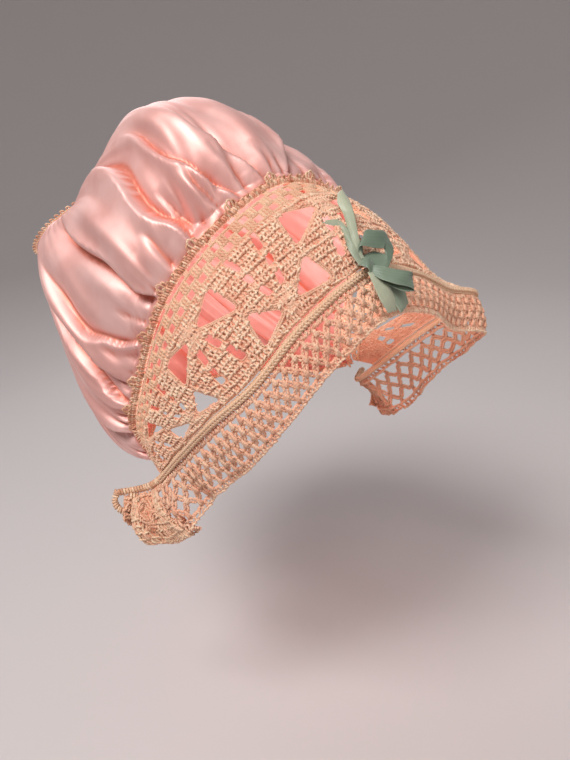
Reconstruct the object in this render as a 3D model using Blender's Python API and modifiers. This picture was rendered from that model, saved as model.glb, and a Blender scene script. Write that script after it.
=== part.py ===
import bpy
import bmesh
from math import cos, exp, pi, sin
from mathutils import Matrix, Vector
from mathutils.geometry import delaunay_2d_cdt

# Boudoir cap, worn: face toward -Y, the wearer's left toward +X.
# The origin is the point inside the cap that rests on the top of the head.

# Overall sizes in metres
GAP = 0.0004
SEAM_GAP = 0.0006
SATIN_GAP = 0.0009
KNOT_GAP = 0.0007
CORD_RADIUS = 0.0021
PICOT_RADIUS = 0.0009
PICOT_REACH = 4.0
RIB_RADIUS = 0.0023
NAPE_RADIUS = 0.0016
BAND_THICKNESS = 0.002
MESH_THICKNESS = 0.0016
SATIN_THICKNESS = 0.0014
RIBBON_THICKNESS = 0.001
RIBBON_WIDTH = 0.0064
MEDALLION_RADIUS = 0.047
MEDALLION_THICKNESS = 0.002
MEDALLION_DOME = 0.006
MEDALLION_HOLES = 8
HEAD_CENTRE = Vector((0.0, 0.0, -0.105))

# Front sections from the wearer's right ear to the left ear, one fan apart
# Columns: station, cord point, rib point, mesh edge point, outward bulge of the band
SECTIONS = [
    (-6, (-0.092, 0.022, -0.160), (-0.118, 0.037, -0.169), (-0.117, 0.030, -0.196), 0.000),
    (-5, (-0.092, 0.022, -0.157), (-0.100, 0.022, -0.168), (-0.104, -0.008, -0.196), 0.000),
    (-4, (-0.097, 0.033, -0.132), (-0.094, -0.008, -0.145), (-0.085, -0.020, -0.173), 0.002),
    (-3, (-0.094, 0.018, -0.102), (-0.088, -0.043, -0.119), (-0.079, -0.055, -0.148), 0.003),
    (-2, (-0.082, -0.011, -0.054), (-0.073, -0.068, -0.099), (-0.067, -0.082, -0.121), 0.005),
    (-1, (-0.050, -0.031, -0.020), (-0.045, -0.085, -0.072), (-0.041, -0.097, -0.096), 0.007),
    (0, (0.000, -0.036, -0.003), (0.000, -0.092, -0.056), (0.000, -0.102, -0.081), 0.008),
    (1, (0.050, -0.031, -0.020), (0.046, -0.085, -0.068), (0.043, -0.097, -0.092), 0.007),
    (2, (0.082, -0.011, -0.054), (0.079, -0.085, -0.086), (0.072, -0.090, -0.111), 0.005),
    (3, (0.094, 0.018, -0.102), (0.104, -0.087, -0.098), (0.101, -0.093, -0.123), 0.003),
    (4, (0.097, 0.033, -0.132), (0.110, -0.036, -0.128), (0.112, -0.050, -0.156), 0.002),
    (5, (0.092, 0.022, -0.157), (0.100, 0.022, -0.168), (0.104, -0.008, -0.196), 0.000),
    (6, (0.092, 0.022, -0.160), (0.118, 0.037, -0.169), (0.117, 0.030, -0.196), 0.000),
]
FIRST_STATION = -6
EAR = 4.8
EAR_STATION = 5.0
NAPE_INSET = 0.2
BAND_REACH = 4.65
MESH_REACH = 5.85

# Ruffle of the mesh at the ears: where it starts, how fast it grows, waves a station, depth
RUFFLE_START = 2.6
RUFFLE_RISE = 1.8
RUFFLE_WAVES = 1.15
RUFFLE_DEPTH = 0.0055
MESH_CURL = 0.002
BAG_PUFF = 0.004

# Satin bag: the pull of each gather away from its edge and toward the medallion
# Columns in front: station, first pull point, second pull point
# Columns at the nape: edge point, first pull point, second pull point
BAG_FRONT = [
    (-5, (-0.104, 0.045, -0.161), (-0.104, 0.106, -0.126)),
    (-4, (-0.113, 0.048, -0.130), (-0.107, 0.106, -0.082)),
    (-3, (-0.114, 0.032, -0.087), (-0.114, 0.106, -0.020)),
    (-2, (-0.100, 0.000, -0.020), (-0.080, 0.064, 0.012)),
    (-1, (-0.058, -0.028, 0.024), (-0.044, 0.042, 0.084)),
    (0, (0.000, -0.032, 0.028), (-0.006, 0.052, 0.103)),
    (1, (0.052, -0.030, 0.006), (0.044, 0.070, 0.080)),
    (2, (0.092, 0.000, -0.040), (0.086, 0.090, 0.034)),
    (3, (0.106, 0.034, -0.098), (0.104, 0.120, -0.010)),
    (4, (0.112, 0.052, -0.130), (0.110, 0.130, -0.060)),
    (5, (0.106, 0.046, -0.162), (0.100, 0.128, -0.110)),
]
BAG_NAPE = [
    ((0.078, 0.062, -0.160), (0.086, 0.090, -0.168), (0.072, 0.150, -0.112)),
    ((0.044, 0.092, -0.150), (0.050, 0.122, -0.160), (0.040, 0.170, -0.096)),
    ((0.000, 0.104, -0.146), (0.000, 0.136, -0.155), (-0.004, 0.180, -0.088)),
    ((-0.044, 0.092, -0.150), (-0.050, 0.122, -0.160), (-0.050, 0.170, -0.096)),
    ((-0.078, 0.062, -0.160), (-0.088, 0.090, -0.168), (-0.088, 0.140, -0.116)),
]
MEDALLION_CENTRE = Vector((-0.034, 0.144, -0.010))
MEDALLION_NORMAL = Vector((-0.10, 0.45, 0.89)).normalized()

# Main folds of the bag. Columns: station, drift toward the medallion, half width, depth
FOLDS = [
    (-4.4, 0.5, 0.30, 0.0042),
    (-3.5, 0.6, 0.26, 0.0054),
    (-2.7, 0.5, 0.28, 0.0060),
    (-1.9, 0.2, 0.24, 0.0054),
    (-1.2, -0.3, 0.26, 0.0060),
    (-0.4, -0.5, 0.24, 0.0048),
    (0.5, -0.2, 0.26, 0.0054),
    (1.4, 0.1, 0.26, 0.0054),
    (2.3, 0.2, 0.28, 0.0054),
    (3.3, 0.1, 0.28, 0.0054),
    (4.3, 0.0, 0.30, 0.0048),
    (5.7, 0.0, 0.34, 0.0054),
    (7.2, 0.0, 0.34, 0.0054),
    (8.8, 0.0, 0.34, 0.0054),
    (10.3, 0.0, 0.34, 0.0054),
]
BAG_STATIONS = len(BAG_FRONT) + len(BAG_NAPE)

# Pattern of the band across its depth, as shares from cord to rib
EYELET_ROW = (0.06, 0.15)
FAN_WIDE = 0.235
FAN_MIDDLE = 0.41
FAN_CORNER = 0.60
FAN_STAR = 0.85
FAN_HEM = 0.93
EYELETS = 22
MESH_HOLES = 21

# The knot sits on the rib: sizes and directions sideways, up the band and outward
KNOT_SIZE = (0.0040, 0.0036, 0.0030)
KNOT_DROP = 0.002
KNOT_SIDE = Vector((1.0, 0.0, 0.0))
KNOT_UP = Vector((0.0, 0.727, 0.687))
KNOT_OUT = Vector((0.0, -0.687, 0.727))

# Ribbon paths: the way each leaves the knot, its places in metres, and the way a loop returns
RIBBONS = {
    "bow_loop_upper": (
        (0.30, 0.90, 0.30),
        [(0.0060, 0.0095, 0.0048), (0.0118, 0.0138, 0.0066), (0.0144, 0.0154, 0.0080),
         (0.0120, 0.0128, 0.0098), (0.0064, 0.0078, 0.0092)],
        (0.30, 0.45, 0.80)),
    "bow_loop_side": (
        (0.97, -0.22, -0.05),
        [(0.0105, -0.0080, 0.0010), (0.0170, -0.0180, 0.0020), (0.0213, -0.0243, 0.0030),
         (0.0200, -0.0225, 0.0055), (0.0120, -0.0110, 0.0068)],
        (0.75, -0.20, 0.65)),
    "bow_tail_up_near": (
        (-0.47, 0.88, -0.15),
        [(-0.0040, 0.0130, 0.0030), (-0.0034, 0.0230, 0.0055), (-0.0026, 0.0323, 0.0060)],
        None),
    "bow_tail_up_far": (
        (0.47, 0.88, -0.15),
        [(0.0075, 0.0130, 0.0026), (0.0150, 0.0260, 0.0046), (0.0222, 0.0403, 0.0045)],
        None),
    "bow_tail_front": (
        (-0.42, -0.90, -0.10),
        [(-0.0030, -0.0130, -0.0010), (-0.0030, -0.0230, -0.0045), (-0.0019, -0.0320, -0.0080)],
        None),
    "bow_tail_side": (
        (0.42, -0.90, -0.10),
        [(0.0045, -0.0125, -0.0005), (0.0078, -0.0215, -0.0030), (0.0101, -0.0291, -0.0050)],
        None),
}


def spline_point(points, t, closed=False):
    """Point on a smooth curve through the given points, one unit apart."""
    count = len(points)
    if closed:
        index = int(t // 1)
        picks = [points[(index + k) % count] for k in (-1, 0, 1, 2)]
    else:
        index = min(max(int(t // 1), 0), count - 2)
        picks = [points[min(max(index + k, 0), count - 1)] for k in (-1, 0, 1, 2)]
    f = t - index
    a, b, c, d = [Vector(p) for p in picks]
    slope_in = (c - a) * 0.5
    slope_out = (d - b) * 0.5
    f2 = f * f
    f3 = f2 * f
    return (b * (2 * f3 - 3 * f2 + 1) + slope_in * (f3 - 2 * f2 + f)
            + c * (3 * f2 - 2 * f3) + slope_out * (f3 - f2))


CORD_POINTS = [row[1] for row in SECTIONS]
RIB_POINTS = [row[2] for row in SECTIONS]
EDGE_POINTS = [row[3] for row in SECTIONS]


def section_value(s, column):
    t = min(max(s - FIRST_STATION, 0.0), len(SECTIONS) - 1.0)
    index = min(int(t), len(SECTIONS) - 2)
    f = t - index
    return SECTIONS[index][column] * (1 - f) + SECTIONS[index + 1][column] * f


def cord_point(s):
    return spline_point(CORD_POINTS, s - FIRST_STATION)


def rib_point(s):
    return spline_point(RIB_POINTS, s - FIRST_STATION)


def edge_point(s):
    return spline_point(EDGE_POINTS, s - FIRST_STATION)


def outward(point, along):
    """Direction away from the head, square to a given line."""
    out = (point - HEAD_CENTRE).normalized()
    along = along.normalized()
    return (out - along * out.dot(along)).normalized()


def clearance(curve, s, line, radius):
    """Distance along a slanted line that stays clear of a round cord."""
    along = (curve(s + 0.02) - curve(s - 0.02)).normalized()
    slant = max(line.cross(along).length, 0.4)
    return (radius + SEAM_GAP) / slant


def band_point(s, v):
    cord = cord_point(s)
    rib = rib_point(s)
    line = (rib - cord).normalized()
    start = cord + line * clearance(cord_point, s, line, CORD_RADIUS)
    end = rib - line * clearance(rib_point, s, line, RIB_RADIUS)
    bulge = section_value(s, 4) * 4 * v * (1 - v)
    return start.lerp(end, v) + outward(start.lerp(end, v), line) * bulge


def ruffle(s, w):
    """Wave of the mesh near the ears, growing from the rib to the edge."""
    beyond = max(abs(s) - RUFFLE_START, 0.0)
    reach = min(beyond / RUFFLE_RISE, 1.0)
    return RUFFLE_DEPTH * reach * w * sin(2 * pi * RUFFLE_WAVES * beyond)


def mesh_point(s, w):
    rib = rib_point(s)
    edge = edge_point(s)
    line = (edge - rib).normalized()
    start = rib + line * clearance(rib_point, s, line, RIB_RADIUS)
    middle = start.lerp(edge, w)
    curl = MESH_CURL * sin(pi * w)
    return middle + outward(middle, line) * (curl + ruffle(s, w))


def medallion_axes():
    side = Vector((1.0, 0.0, 0.0))
    side = (side - MEDALLION_NORMAL * side.dot(MEDALLION_NORMAL)).normalized()
    return side, MEDALLION_NORMAL.cross(side)


def nape_point(t):
    """Point along the nape, from the left end of the cord to the right end."""
    points = [cord_point(EAR)] + [Vector(row[0]) for row in BAG_NAPE] + [cord_point(-EAR)]
    return spline_point(points, t)


def rim_centre(station):
    """Centre line of the cord in front and of the nape edging behind."""
    if abs(station) <= EAR_STATION:
        return cord_point(station * EAR / EAR_STATION)
    return nape_point(min(station - EAR_STATION, len(BAG_NAPE) + 1.0))


def bag_edge(station, pull_point, reach):
    """A place beside the cord or nape edging, square to it, toward the pull of the satin."""
    step = 0.02
    centre = rim_centre(station)
    along = (rim_centre(station + step) - rim_centre(station - step)).normalized()
    pull = pull_point - centre
    pull = (pull - along * pull.dot(along)).normalized()
    return centre + pull * reach


def fold_depth(station, rho):
    """How far the cloth sinks at a place on the bag."""
    depth = 0.0
    for fold_station, drift, half_width, fold in FOLDS:
        away = station - (fold_station + drift * rho)
        away -= BAG_STATIONS * round(away / BAG_STATIONS)
        depth += fold * exp(-(away / half_width) ** 2)
    fade = min(rho / 0.25, 1.0) * min((1.0 - rho) / 0.2, 1.0)
    return depth * fade


def bag_surface():
    rows = BAG_FRONT + BAG_NAPE
    firsts = [row[1] for row in rows]
    seconds = [row[2] for row in rows]
    side, back = medallion_axes()
    ring_radius = MEDALLION_RADIUS + SATIN_THICKNESS / 2
    first_station = BAG_FRONT[0][0]

    def smooth(station, rho):
        t = station - first_station
        first = spline_point(firsts, t, closed=True)
        second = spline_point(seconds, t, closed=True)
        if station > BAG_STATIONS - EAR_STATION:
            station -= BAG_STATIONS
        radius = CORD_RADIUS if abs(station) < EAR_STATION + 0.7 else NAPE_RADIUS
        edge = bag_edge(station, first, radius + SATIN_GAP)
        turn = 2 * pi * station / BAG_STATIONS
        ring = (MEDALLION_CENTRE + side * ring_radius * sin(turn)
                - back * ring_radius * cos(turn))
        a = 1 - rho
        return (edge * a ** 3 + first * 3 * a * a * rho
                + second * 3 * a * rho * rho + ring * rho ** 3)

    def surface(station, rho):
        step = 0.02
        point = smooth(station, rho)
        across = smooth(station + step, rho) - smooth(station - step, rho)
        low = max(rho - step, 0.0)
        high = min(rho + step, 1.0)
        along = smooth(station, high) - smooth(station, low)
        normal = along.cross(across).normalized()
        puff = BAG_PUFF * sin(pi * rho)
        return point + normal * (fold_depth(station, rho) - puff)

    return surface


def new_collection(name):
    collection = bpy.data.collections.new(name)
    bpy.context.scene.collection.children.link(collection)
    return collection


def make_material(name, color, roughness, sheen):
    material = bpy.data.materials.new(name)
    material.use_nodes = True
    shader = material.node_tree.nodes["Principled BSDF"]
    shader.inputs["Base Color"].default_value = (*color, 1.0)
    shader.inputs["Roughness"].default_value = roughness
    shader.inputs["Metallic"].default_value = 0.0
    shader.inputs["Sheen Weight"].default_value = sheen
    return material


def mesh_object(name, bm, material, collection):
    mesh = bpy.data.meshes.new(name)
    bmesh.ops.recalc_face_normals(bm, faces=bm.faces)
    bm.to_mesh(mesh)
    bm.free()
    mesh.shade_smooth()
    mesh.materials.append(material)
    obj = bpy.data.objects.new(name, mesh)
    collection.objects.link(obj)
    return obj


def add_wall(obj, thickness):
    wall = obj.modifiers.new("wall", "SOLIDIFY")
    wall.thickness = thickness
    wall.offset = 0.0
    wall.use_even_offset = False


def tube(name, points, radius, material, collection):
    curve = bpy.data.curves.new(name, "CURVE")
    curve.dimensions = "3D"
    curve.bevel_depth = radius
    curve.bevel_resolution = 2
    curve.use_fill_caps = True
    line = curve.splines.new("POLY")
    line.points.add(len(points) - 1)
    for knot, point in zip(line.points, points):
        knot.co = (*point, 1.0)
    curve.materials.append(material)
    obj = bpy.data.objects.new(name, curve)
    collection.objects.link(obj)
    return obj


def inside(point, polygon):
    hit = False
    last = polygon[-1]
    for corner in polygon:
        if (corner[1] > point[1]) != (last[1] > point[1]):
            reach = (last[0] - corner[0]) * (point[1] - corner[1]) / (last[1] - corner[1])
            if point[0] < corner[0] + reach:
                hit = not hit
        last = corner
    return hit


def near_polygon(point, polygon, distance):
    p = Vector(point)
    last = Vector(polygon[-1])
    for corner in polygon:
        corner = Vector(corner)
        edge = corner - last
        f = min(max((p - last).dot(edge) / edge.length_squared, 0.0), 1.0)
        if (last + edge * f - p).length < distance:
            return True
        last = corner
    return False


def pierced_sheet(name, low, high, steps, holes, place, thickness, material, collection):
    """A flat pattern with holes, triangulated and laid on a curved surface."""
    flat = []
    edges = []

    def add_loop(loop):
        start = len(flat)
        flat.extend(Vector(p) for p in loop)
        edges.extend((start + i, start + (i + 1) % len(loop)) for i in range(len(loop)))

    across, down = steps
    width = high[0] - low[0]
    depth = high[1] - low[1]
    rim = 2 * across
    outline = [(low[0] + width * i / rim, low[1]) for i in range(rim)]
    outline += [(high[0], low[1] + depth * j / down) for j in range(down)]
    outline += [(high[0] - width * i / rim, high[1]) for i in range(rim)]
    outline += [(low[0], high[1] - depth * j / down) for j in range(down)]
    add_loop(outline)
    for hole in holes:
        add_loop(hole)
    clear = 0.35 * width / across
    for i in range(1, across):
        for j in range(1, down):
            point = (low[0] + width * i / across, low[1] + depth * j / down)
            blocked = any(inside(point, hole) or near_polygon(point, hole, clear) for hole in holes)
            if not blocked:
                flat.append(Vector(point))
    found = delaunay_2d_cdt(flat, edges, [], 0, 1e-7)
    spots, faces = found[0], found[2]
    bm = bmesh.new()
    verts = [bm.verts.new(place(p.x, p.y)) for p in spots]
    for face in faces:
        middle = sum((spots[i] for i in face), Vector((0.0, 0.0))) / len(face)
        if not any(inside(middle, hole) for hole in holes):
            bm.faces.new([verts[i] for i in face])
    loose = [v for v in bm.verts if not v.link_faces]
    bmesh.ops.delete(bm, geom=loose, context="VERTS")
    obj = mesh_object(name, bm, material, collection)
    add_wall(obj, thickness)
    return obj


def quad(s_low, s_high, v_low, v_high):
    return [(s_low, v_low), (s_high, v_low), (s_high, v_high), (s_low, v_high)]


def band_holes():
    holes = []
    for k in range(-4, 5):
        toward_cord = k % 2 == 0
        for side in (-1, 1):
            if toward_cord:
                for v_low, v_high in ((0.60, 0.70), (0.77, 0.87)):
                    middle = k + side * 0.16
                    holes.append(quad(middle - 0.06, middle + 0.06, v_low, v_high))
            else:
                for v_low, v_high in ((0.30, 0.40), (0.46, 0.56)):
                    middle = k + side * 0.17
                    holes.append(quad(middle - 0.06, middle + 0.06, v_low, v_high))
                upper = [(k + side * 0.50, FAN_WIDE), (k + side * 0.92, FAN_MIDDLE),
                         (k + side * 0.47, FAN_CORNER)]
                lower = [(k + side * 0.44, FAN_CORNER + 0.05), (k + side * 0.50, FAN_HEM),
                         (k + side * 0.10, FAN_STAR)]
                holes.append(upper)
                holes.append(lower)
    reach = BAND_REACH - 0.15
    pitch = 2 * reach / EYELETS
    for i in range(EYELETS):
        left = -reach + pitch * (i + 0.14)
        holes.append(quad(left, left + pitch * 0.72, *EYELET_ROW))
    return holes


def mesh_holes():
    holes = []
    span = 2 * (MESH_REACH - 0.15)
    pitch = span / MESH_HOLES
    for row, (w_low, w_high) in enumerate(((0.12, 0.46), (0.54, 0.88))):
        shift = pitch * 0.5 * row
        for i in range(MESH_HOLES - row):
            left = -span / 2 + pitch * i + shift + pitch * 0.12
            middle = left + pitch * 0.38
            right = left + pitch * 0.76
            half = (w_low + w_high) / 2
            holes.append([(left, half), (left + pitch * 0.18, w_low), (right - pitch * 0.18, w_low),
                          (right, half), (right - pitch * 0.18, w_high), (left + pitch * 0.18, w_high)])
    return holes


# The satin bag is a grid of gathers from its edge to the medallion
def build_satin(material, collection):
    around = 84
    along = 9
    surface = bag_surface()
    bm = bmesh.new()
    grid = []
    for i in range(around):
        station = BAG_FRONT[0][0] + BAG_STATIONS * i / around
        grid.append([bm.verts.new(surface(station, j / along)) for j in range(along + 1)])
    for i in range(around):
        here = grid[i]
        after = grid[(i + 1) % around]
        for j in range(along):
            bm.faces.new((here[j], after[j], after[j + 1], here[j + 1]))
    obj = mesh_object("satin_crown", bm, material, collection)
    add_wall(obj, SATIN_THICKNESS)
    return obj


# The medallion is a shallow dome pierced between its spokes
def build_medallion(material, collection):
    side, back = medallion_axes()
    radius = MEDALLION_RADIUS - GAP

    def place(turn, share):
        r = radius * share
        lift = MEDALLION_DOME * (1 - share * share)
        return (MEDALLION_CENTRE + side * r * sin(turn) - back * r * cos(turn)
                + MEDALLION_NORMAL * lift)

    spokes = 4 * MEDALLION_HOLES
    rings = (0.22, 0.45, 0.80, 1.0)
    bm = bmesh.new()
    middle = bm.verts.new(place(0.0, 0.0))
    loops = []
    for share in rings:
        loops.append([bm.verts.new(place(2 * pi * i / spokes, share)) for i in range(spokes)])
    for i in range(spokes):
        j = (i + 1) % spokes
        bm.faces.new((middle, loops[0][i], loops[0][j]))
        bm.faces.new((loops[0][i], loops[1][i], loops[1][j], loops[0][j]))
        if i % 4 in (0, 3):
            bm.faces.new((loops[1][i], loops[2][i], loops[2][j], loops[1][j]))
        bm.faces.new((loops[2][i], loops[3][i], loops[3][j], loops[2][j]))
    obj = mesh_object("crown_medallion", bm, material, collection)
    add_wall(obj, MEDALLION_THICKNESS)
    return obj


def build_band(material, collection):
    low = (-BAND_REACH, 0.0)
    high = (BAND_REACH, 1.0)
    pierced_sheet("crochet_band", low, high, (32, 5), band_holes(), band_point,
                  BAND_THICKNESS, material, collection)


def build_mesh(material, collection):
    low = (-MESH_REACH, 0.0)
    high = (MESH_REACH, 1.0)
    pierced_sheet("mesh_brim", low, high, (44, 3), mesh_holes(), mesh_point,
                  MESH_THICKNESS, material, collection)


def build_cords(cream, peach, collection):
    steps = 56
    stations = [-EAR + 2 * EAR * i / steps for i in range(steps + 1)]
    tube("edge_cord", [cord_point(s) for s in stations], CORD_RADIUS, cream, collection)
    firsts = [row[1] for row in BAG_FRONT]
    picots = []
    for s in stations:
        if abs(s) > PICOT_REACH:
            continue
        cord = cord_point(s)
        station = s * EAR_STATION / EAR
        pull = bag_edge(station, spline_point(firsts, station + EAR_STATION), 1.0) - cord
        line = (rib_point(s) - cord).normalized()
        lean = (pull + line).normalized()
        picots.append(cord + lean * (CORD_RADIUS + PICOT_RADIUS + SEAM_GAP))
    tube("picot_edging", picots, PICOT_RADIUS, peach, collection)
    rib = []
    rib_steps = 64
    for i in range(rib_steps + 1):
        rib.append(rib_point(-6 + 12 * i / rib_steps))
    tube("brim_rib", rib, RIB_RADIUS, cream, collection)
    nape_steps = 30
    reach = len(BAG_NAPE) + 1.0 - 2 * NAPE_INSET
    path = [nape_point(NAPE_INSET + reach * i / nape_steps) for i in range(nape_steps + 1)]
    tube("nape_edging", path, NAPE_RADIUS, peach, collection)


def knot_seat(direction):
    """Place just clear of the knot in a given direction from its centre."""
    way = Vector(direction).normalized()
    reach = sum((way[k] / KNOT_SIZE[k]) ** 2 for k in range(3)) ** -0.5
    return way * (reach + KNOT_GAP)


# The bow is a knot with loops and tails of one narrow ribbon
def build_bow(sage, collection):
    frame = Matrix((KNOT_SIDE, KNOT_UP, KNOT_OUT)).transposed().to_4x4()
    seat = rib_point(0.0) - KNOT_UP * KNOT_DROP + KNOT_OUT * (RIB_RADIUS + KNOT_SIZE[2] + GAP)
    place = Matrix.Translation(seat) @ frame
    bm = bmesh.new()
    bmesh.ops.create_uvsphere(bm, u_segments=12, v_segments=8, radius=1.0)
    for v in bm.verts:
        v.co = Vector([v.co[k] * KNOT_SIZE[k] for k in range(3)])
    knot = mesh_object("bow_knot", bm, sage, collection)
    knot.matrix_world = place
    for name, (leaves, places, returns) in RIBBONS.items():
        rows = [knot_seat(leaves)] + places
        if returns:
            rows.append(knot_seat(returns))
        steps = 4 * (len(rows) - 1)
        points = [spline_point(rows, (len(rows) - 1) * i / steps) for i in range(steps + 1)]
        bm = bmesh.new()
        rails = []
        for i, point in enumerate(points):
            share = i / steps
            ahead = Vector(places[2]) if returns else points[min(i + 1, steps)] - points[max(i - 1, 0)]
            across = Vector((-ahead.y, ahead.x, 0.0)).normalized()
            spread = sin(pi * share) if returns else min(1.0, 3.0 * share)
            width = RIBBON_WIDTH * (0.5 + 0.5 * spread)
            rails.append([bm.verts.new(point + across * width * k) for k in (-0.5, 0.0, 0.5)])
        for here, after in zip(rails, rails[1:]):
            for k in range(2):
                bm.faces.new((here[k], after[k], after[k + 1], here[k + 1]))
        ribbon = mesh_object(name, bm, sage, collection)
        ribbon.matrix_world = place
        add_wall(ribbon, RIBBON_THICKNESS)


def main():
    for obj in list(bpy.data.objects):
        bpy.data.objects.remove(obj, do_unlink=True)
    collection = new_collection("boudoir_cap")
    satin = make_material("pink_satin", (0.80, 0.46, 0.40), 0.38, 0.3)
    crochet = make_material("peach_crochet", (0.72, 0.40, 0.24), 0.85, 0.2)
    cream = make_material("tan_cord", (0.74, 0.50, 0.32), 0.85, 0.2)
    sage = make_material("sage_ribbon", (0.26, 0.32, 0.22), 0.6, 0.2)
    build_satin(satin, collection)
    build_medallion(crochet, collection)
    build_band(crochet, collection)
    build_mesh(crochet, collection)
    build_cords(cream, crochet, collection)
    build_bow(sage, collection)


main()
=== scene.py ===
import math

import bpy
import numpy as np
from mathutils import Matrix, Vector
from mathutils.geometry import delaunay_2d_cdt


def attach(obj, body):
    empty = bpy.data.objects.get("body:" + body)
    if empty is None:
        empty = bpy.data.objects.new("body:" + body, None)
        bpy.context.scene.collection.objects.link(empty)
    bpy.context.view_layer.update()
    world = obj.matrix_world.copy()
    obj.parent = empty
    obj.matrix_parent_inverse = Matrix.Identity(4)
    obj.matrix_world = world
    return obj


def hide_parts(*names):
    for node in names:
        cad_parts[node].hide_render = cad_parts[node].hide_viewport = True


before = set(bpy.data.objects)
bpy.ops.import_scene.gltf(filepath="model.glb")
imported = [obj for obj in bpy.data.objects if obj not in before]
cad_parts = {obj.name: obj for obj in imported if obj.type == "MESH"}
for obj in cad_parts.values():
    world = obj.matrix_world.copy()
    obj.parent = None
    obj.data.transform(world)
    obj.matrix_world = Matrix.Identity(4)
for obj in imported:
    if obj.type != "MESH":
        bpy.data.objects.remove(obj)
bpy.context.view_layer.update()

# camera
cameraView = {
    "azimuth": -38.9,
    "elevation": 18.3,
    "roll": -10.8,
    "distance": 0.437,
    "target": (0.003, 0.0, -0.132),
    "focalPixels": 637.0,
    "frameHeight": 760.0,   # pixels
    "sensor": 36.0,         # millimetres
    "clip": (0.01, 20.0),
}


def addCamera(look):
    # placed by angles round the cap and by the focal length in pixels of the frame
    a, e, roll = (math.radians(look[k]) for k in ("azimuth", "elevation", "roll"))
    back = Vector((math.sin(a) * math.cos(e), -math.cos(a) * math.cos(e), math.sin(e)))
    level = Vector((math.cos(a), math.sin(a), 0.0))
    rise = back.cross(level)
    right = math.cos(roll) * level + math.sin(roll) * rise
    up = math.cos(roll) * rise - math.sin(roll) * level
    spot = Vector(look["target"]) + back * look["distance"]
    data = bpy.data.cameras.new("studioCamera")
    data.sensor_width = look["sensor"]
    data.lens = look["focalPixels"] * look["sensor"] / look["frameHeight"]
    data.clip_start, data.clip_end = look["clip"]
    camera = bpy.data.objects.new("studioCamera", data)
    bpy.context.scene.collection.objects.link(camera)
    camera.matrix_world = Matrix((
        (right.x, up.x, back.x, spot.x),
        (right.y, up.y, back.y, spot.y),
        (right.z, up.z, back.z, spot.z),
        (0.0, 0.0, 0.0, 1.0)))
    bpy.context.scene.camera = camera


addCamera(cameraView)
print("camera ready")


# shader maths
class Wire:
    # a socket that takes part in sums
    def __init__(self, paper, socket):
        self.paper = paper
        self.socket = socket

    def calc(self, operation, *others, clamp=False):
        values = dict(enumerate((self, *others)))
        return self.paper.add("ShaderNodeMath", {"operation": operation, "use_clamp": clamp}, values)

    def flipped(self, operation, other):
        return self.paper.add("ShaderNodeMath", {"operation": operation}, {0: other, 1: self})

    def __add__(self, other):
        return self.calc("ADD", other)

    def __radd__(self, other):
        return self.flipped("ADD", other)

    def __sub__(self, other):
        return self.calc("SUBTRACT", other)

    def __rsub__(self, other):
        return self.flipped("SUBTRACT", other)

    def __mul__(self, other):
        return self.calc("MULTIPLY", other)

    def __rmul__(self, other):
        return self.flipped("MULTIPLY", other)

    def clamped(self):
        return self.calc("ADD", 0.0, clamp=True)

    def between(self, low, high):
        return self.paper.add("ShaderNodeMapRange", {"interpolation_type": "SMOOTHSTEP"},
                              {0: self, 1: low, 2: high})


class Paper:
    # one material's node tree
    def __init__(self, name):
        self.material = bpy.data.materials.new(name)
        self.material.use_nodes = True
        self.tree = self.material.node_tree
        self.tree.nodes.clear()

    def add(self, kind, settings=None, values=None, out=0):
        node = self.tree.nodes.new(kind)
        for key, value in (settings or {}).items():
            if key == "stops":
                ramp = node.color_ramp
                while len(ramp.elements) < len(value):
                    ramp.elements.new(0.5)
                for stop, (place, colour) in zip(ramp.elements, value):
                    stop.position = place
                    stop.color = (*colour, 1.0)
            else:
                setattr(node, key, value)
        for key, value in (values or {}).items():
            socket = node.inputs[key]
            if isinstance(value, Wire):
                self.tree.links.new(value.socket, socket)
            else:
                socket.default_value = value
        return Wire(self, node.outputs[out])

    def attribute(self, name, out="Fac"):
        return self.add("ShaderNodeAttribute", {"attribute_name": name}, out=out)

    def split(self, vector):
        # the three parts of a vector
        node = self.add("ShaderNodeSeparateXYZ", {}, {0: vector}).socket.node
        return [Wire(self, output) for output in node.outputs]

    def mix(self, share, first, second):
        # two colours by a share
        first = first if isinstance(first, Wire) else (*first, 1.0)
        second = second if isinstance(second, Wire) else (*second, 1.0)
        return self.add("ShaderNodeMix", {"data_type": "RGBA"}, {0: share, 6: first, 7: second}, out=2)

    def ramp(self, share, look, stops):
        # deep, body and light tone of one thread or ribbon
        tones = [look[tone] for tone in ("deep", "body", "light")]
        return self.add("ShaderNodeValToRGB", {"stops": list(zip(stops, tones))}, {0: share.clamped()})

    def bump(self, height, strength, distance):
        return self.add("ShaderNodeBump", {}, {
            "Height": height, "Strength": strength, "Distance": distance})

    def place(self, stretch=(1.0, 1.0, 1.0), source=None):
        # texture place in metres, unless a layer of the mesh gives it
        source = source or self.add("ShaderNodeTexCoord", out="Object")
        return self.add("ShaderNodeMapping", {}, {"Vector": source, "Scale": stretch})

    def noise(self, scale, detail, rough, vector=None):
        return self.add("ShaderNodeTexNoise", {}, {
            "Vector": vector or self.place(), "Scale": scale, "Detail": detail, "Roughness": rough})

    def finish(self, values, fixed):
        # what varies is linked, and what doesn't is set on the shader's own sockets
        shader = self.tree.nodes.new("ShaderNodeBsdfPrincipled")
        for key, value in fixed.items():
            shader.inputs[key].default_value = value
        for key, value in values.items():
            self.tree.links.new(value.socket, shader.inputs[key])
        end = self.tree.nodes.new("ShaderNodeOutputMaterial")
        self.tree.links.new(shader.outputs[0], end.inputs["Surface"])
        return self.material


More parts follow.
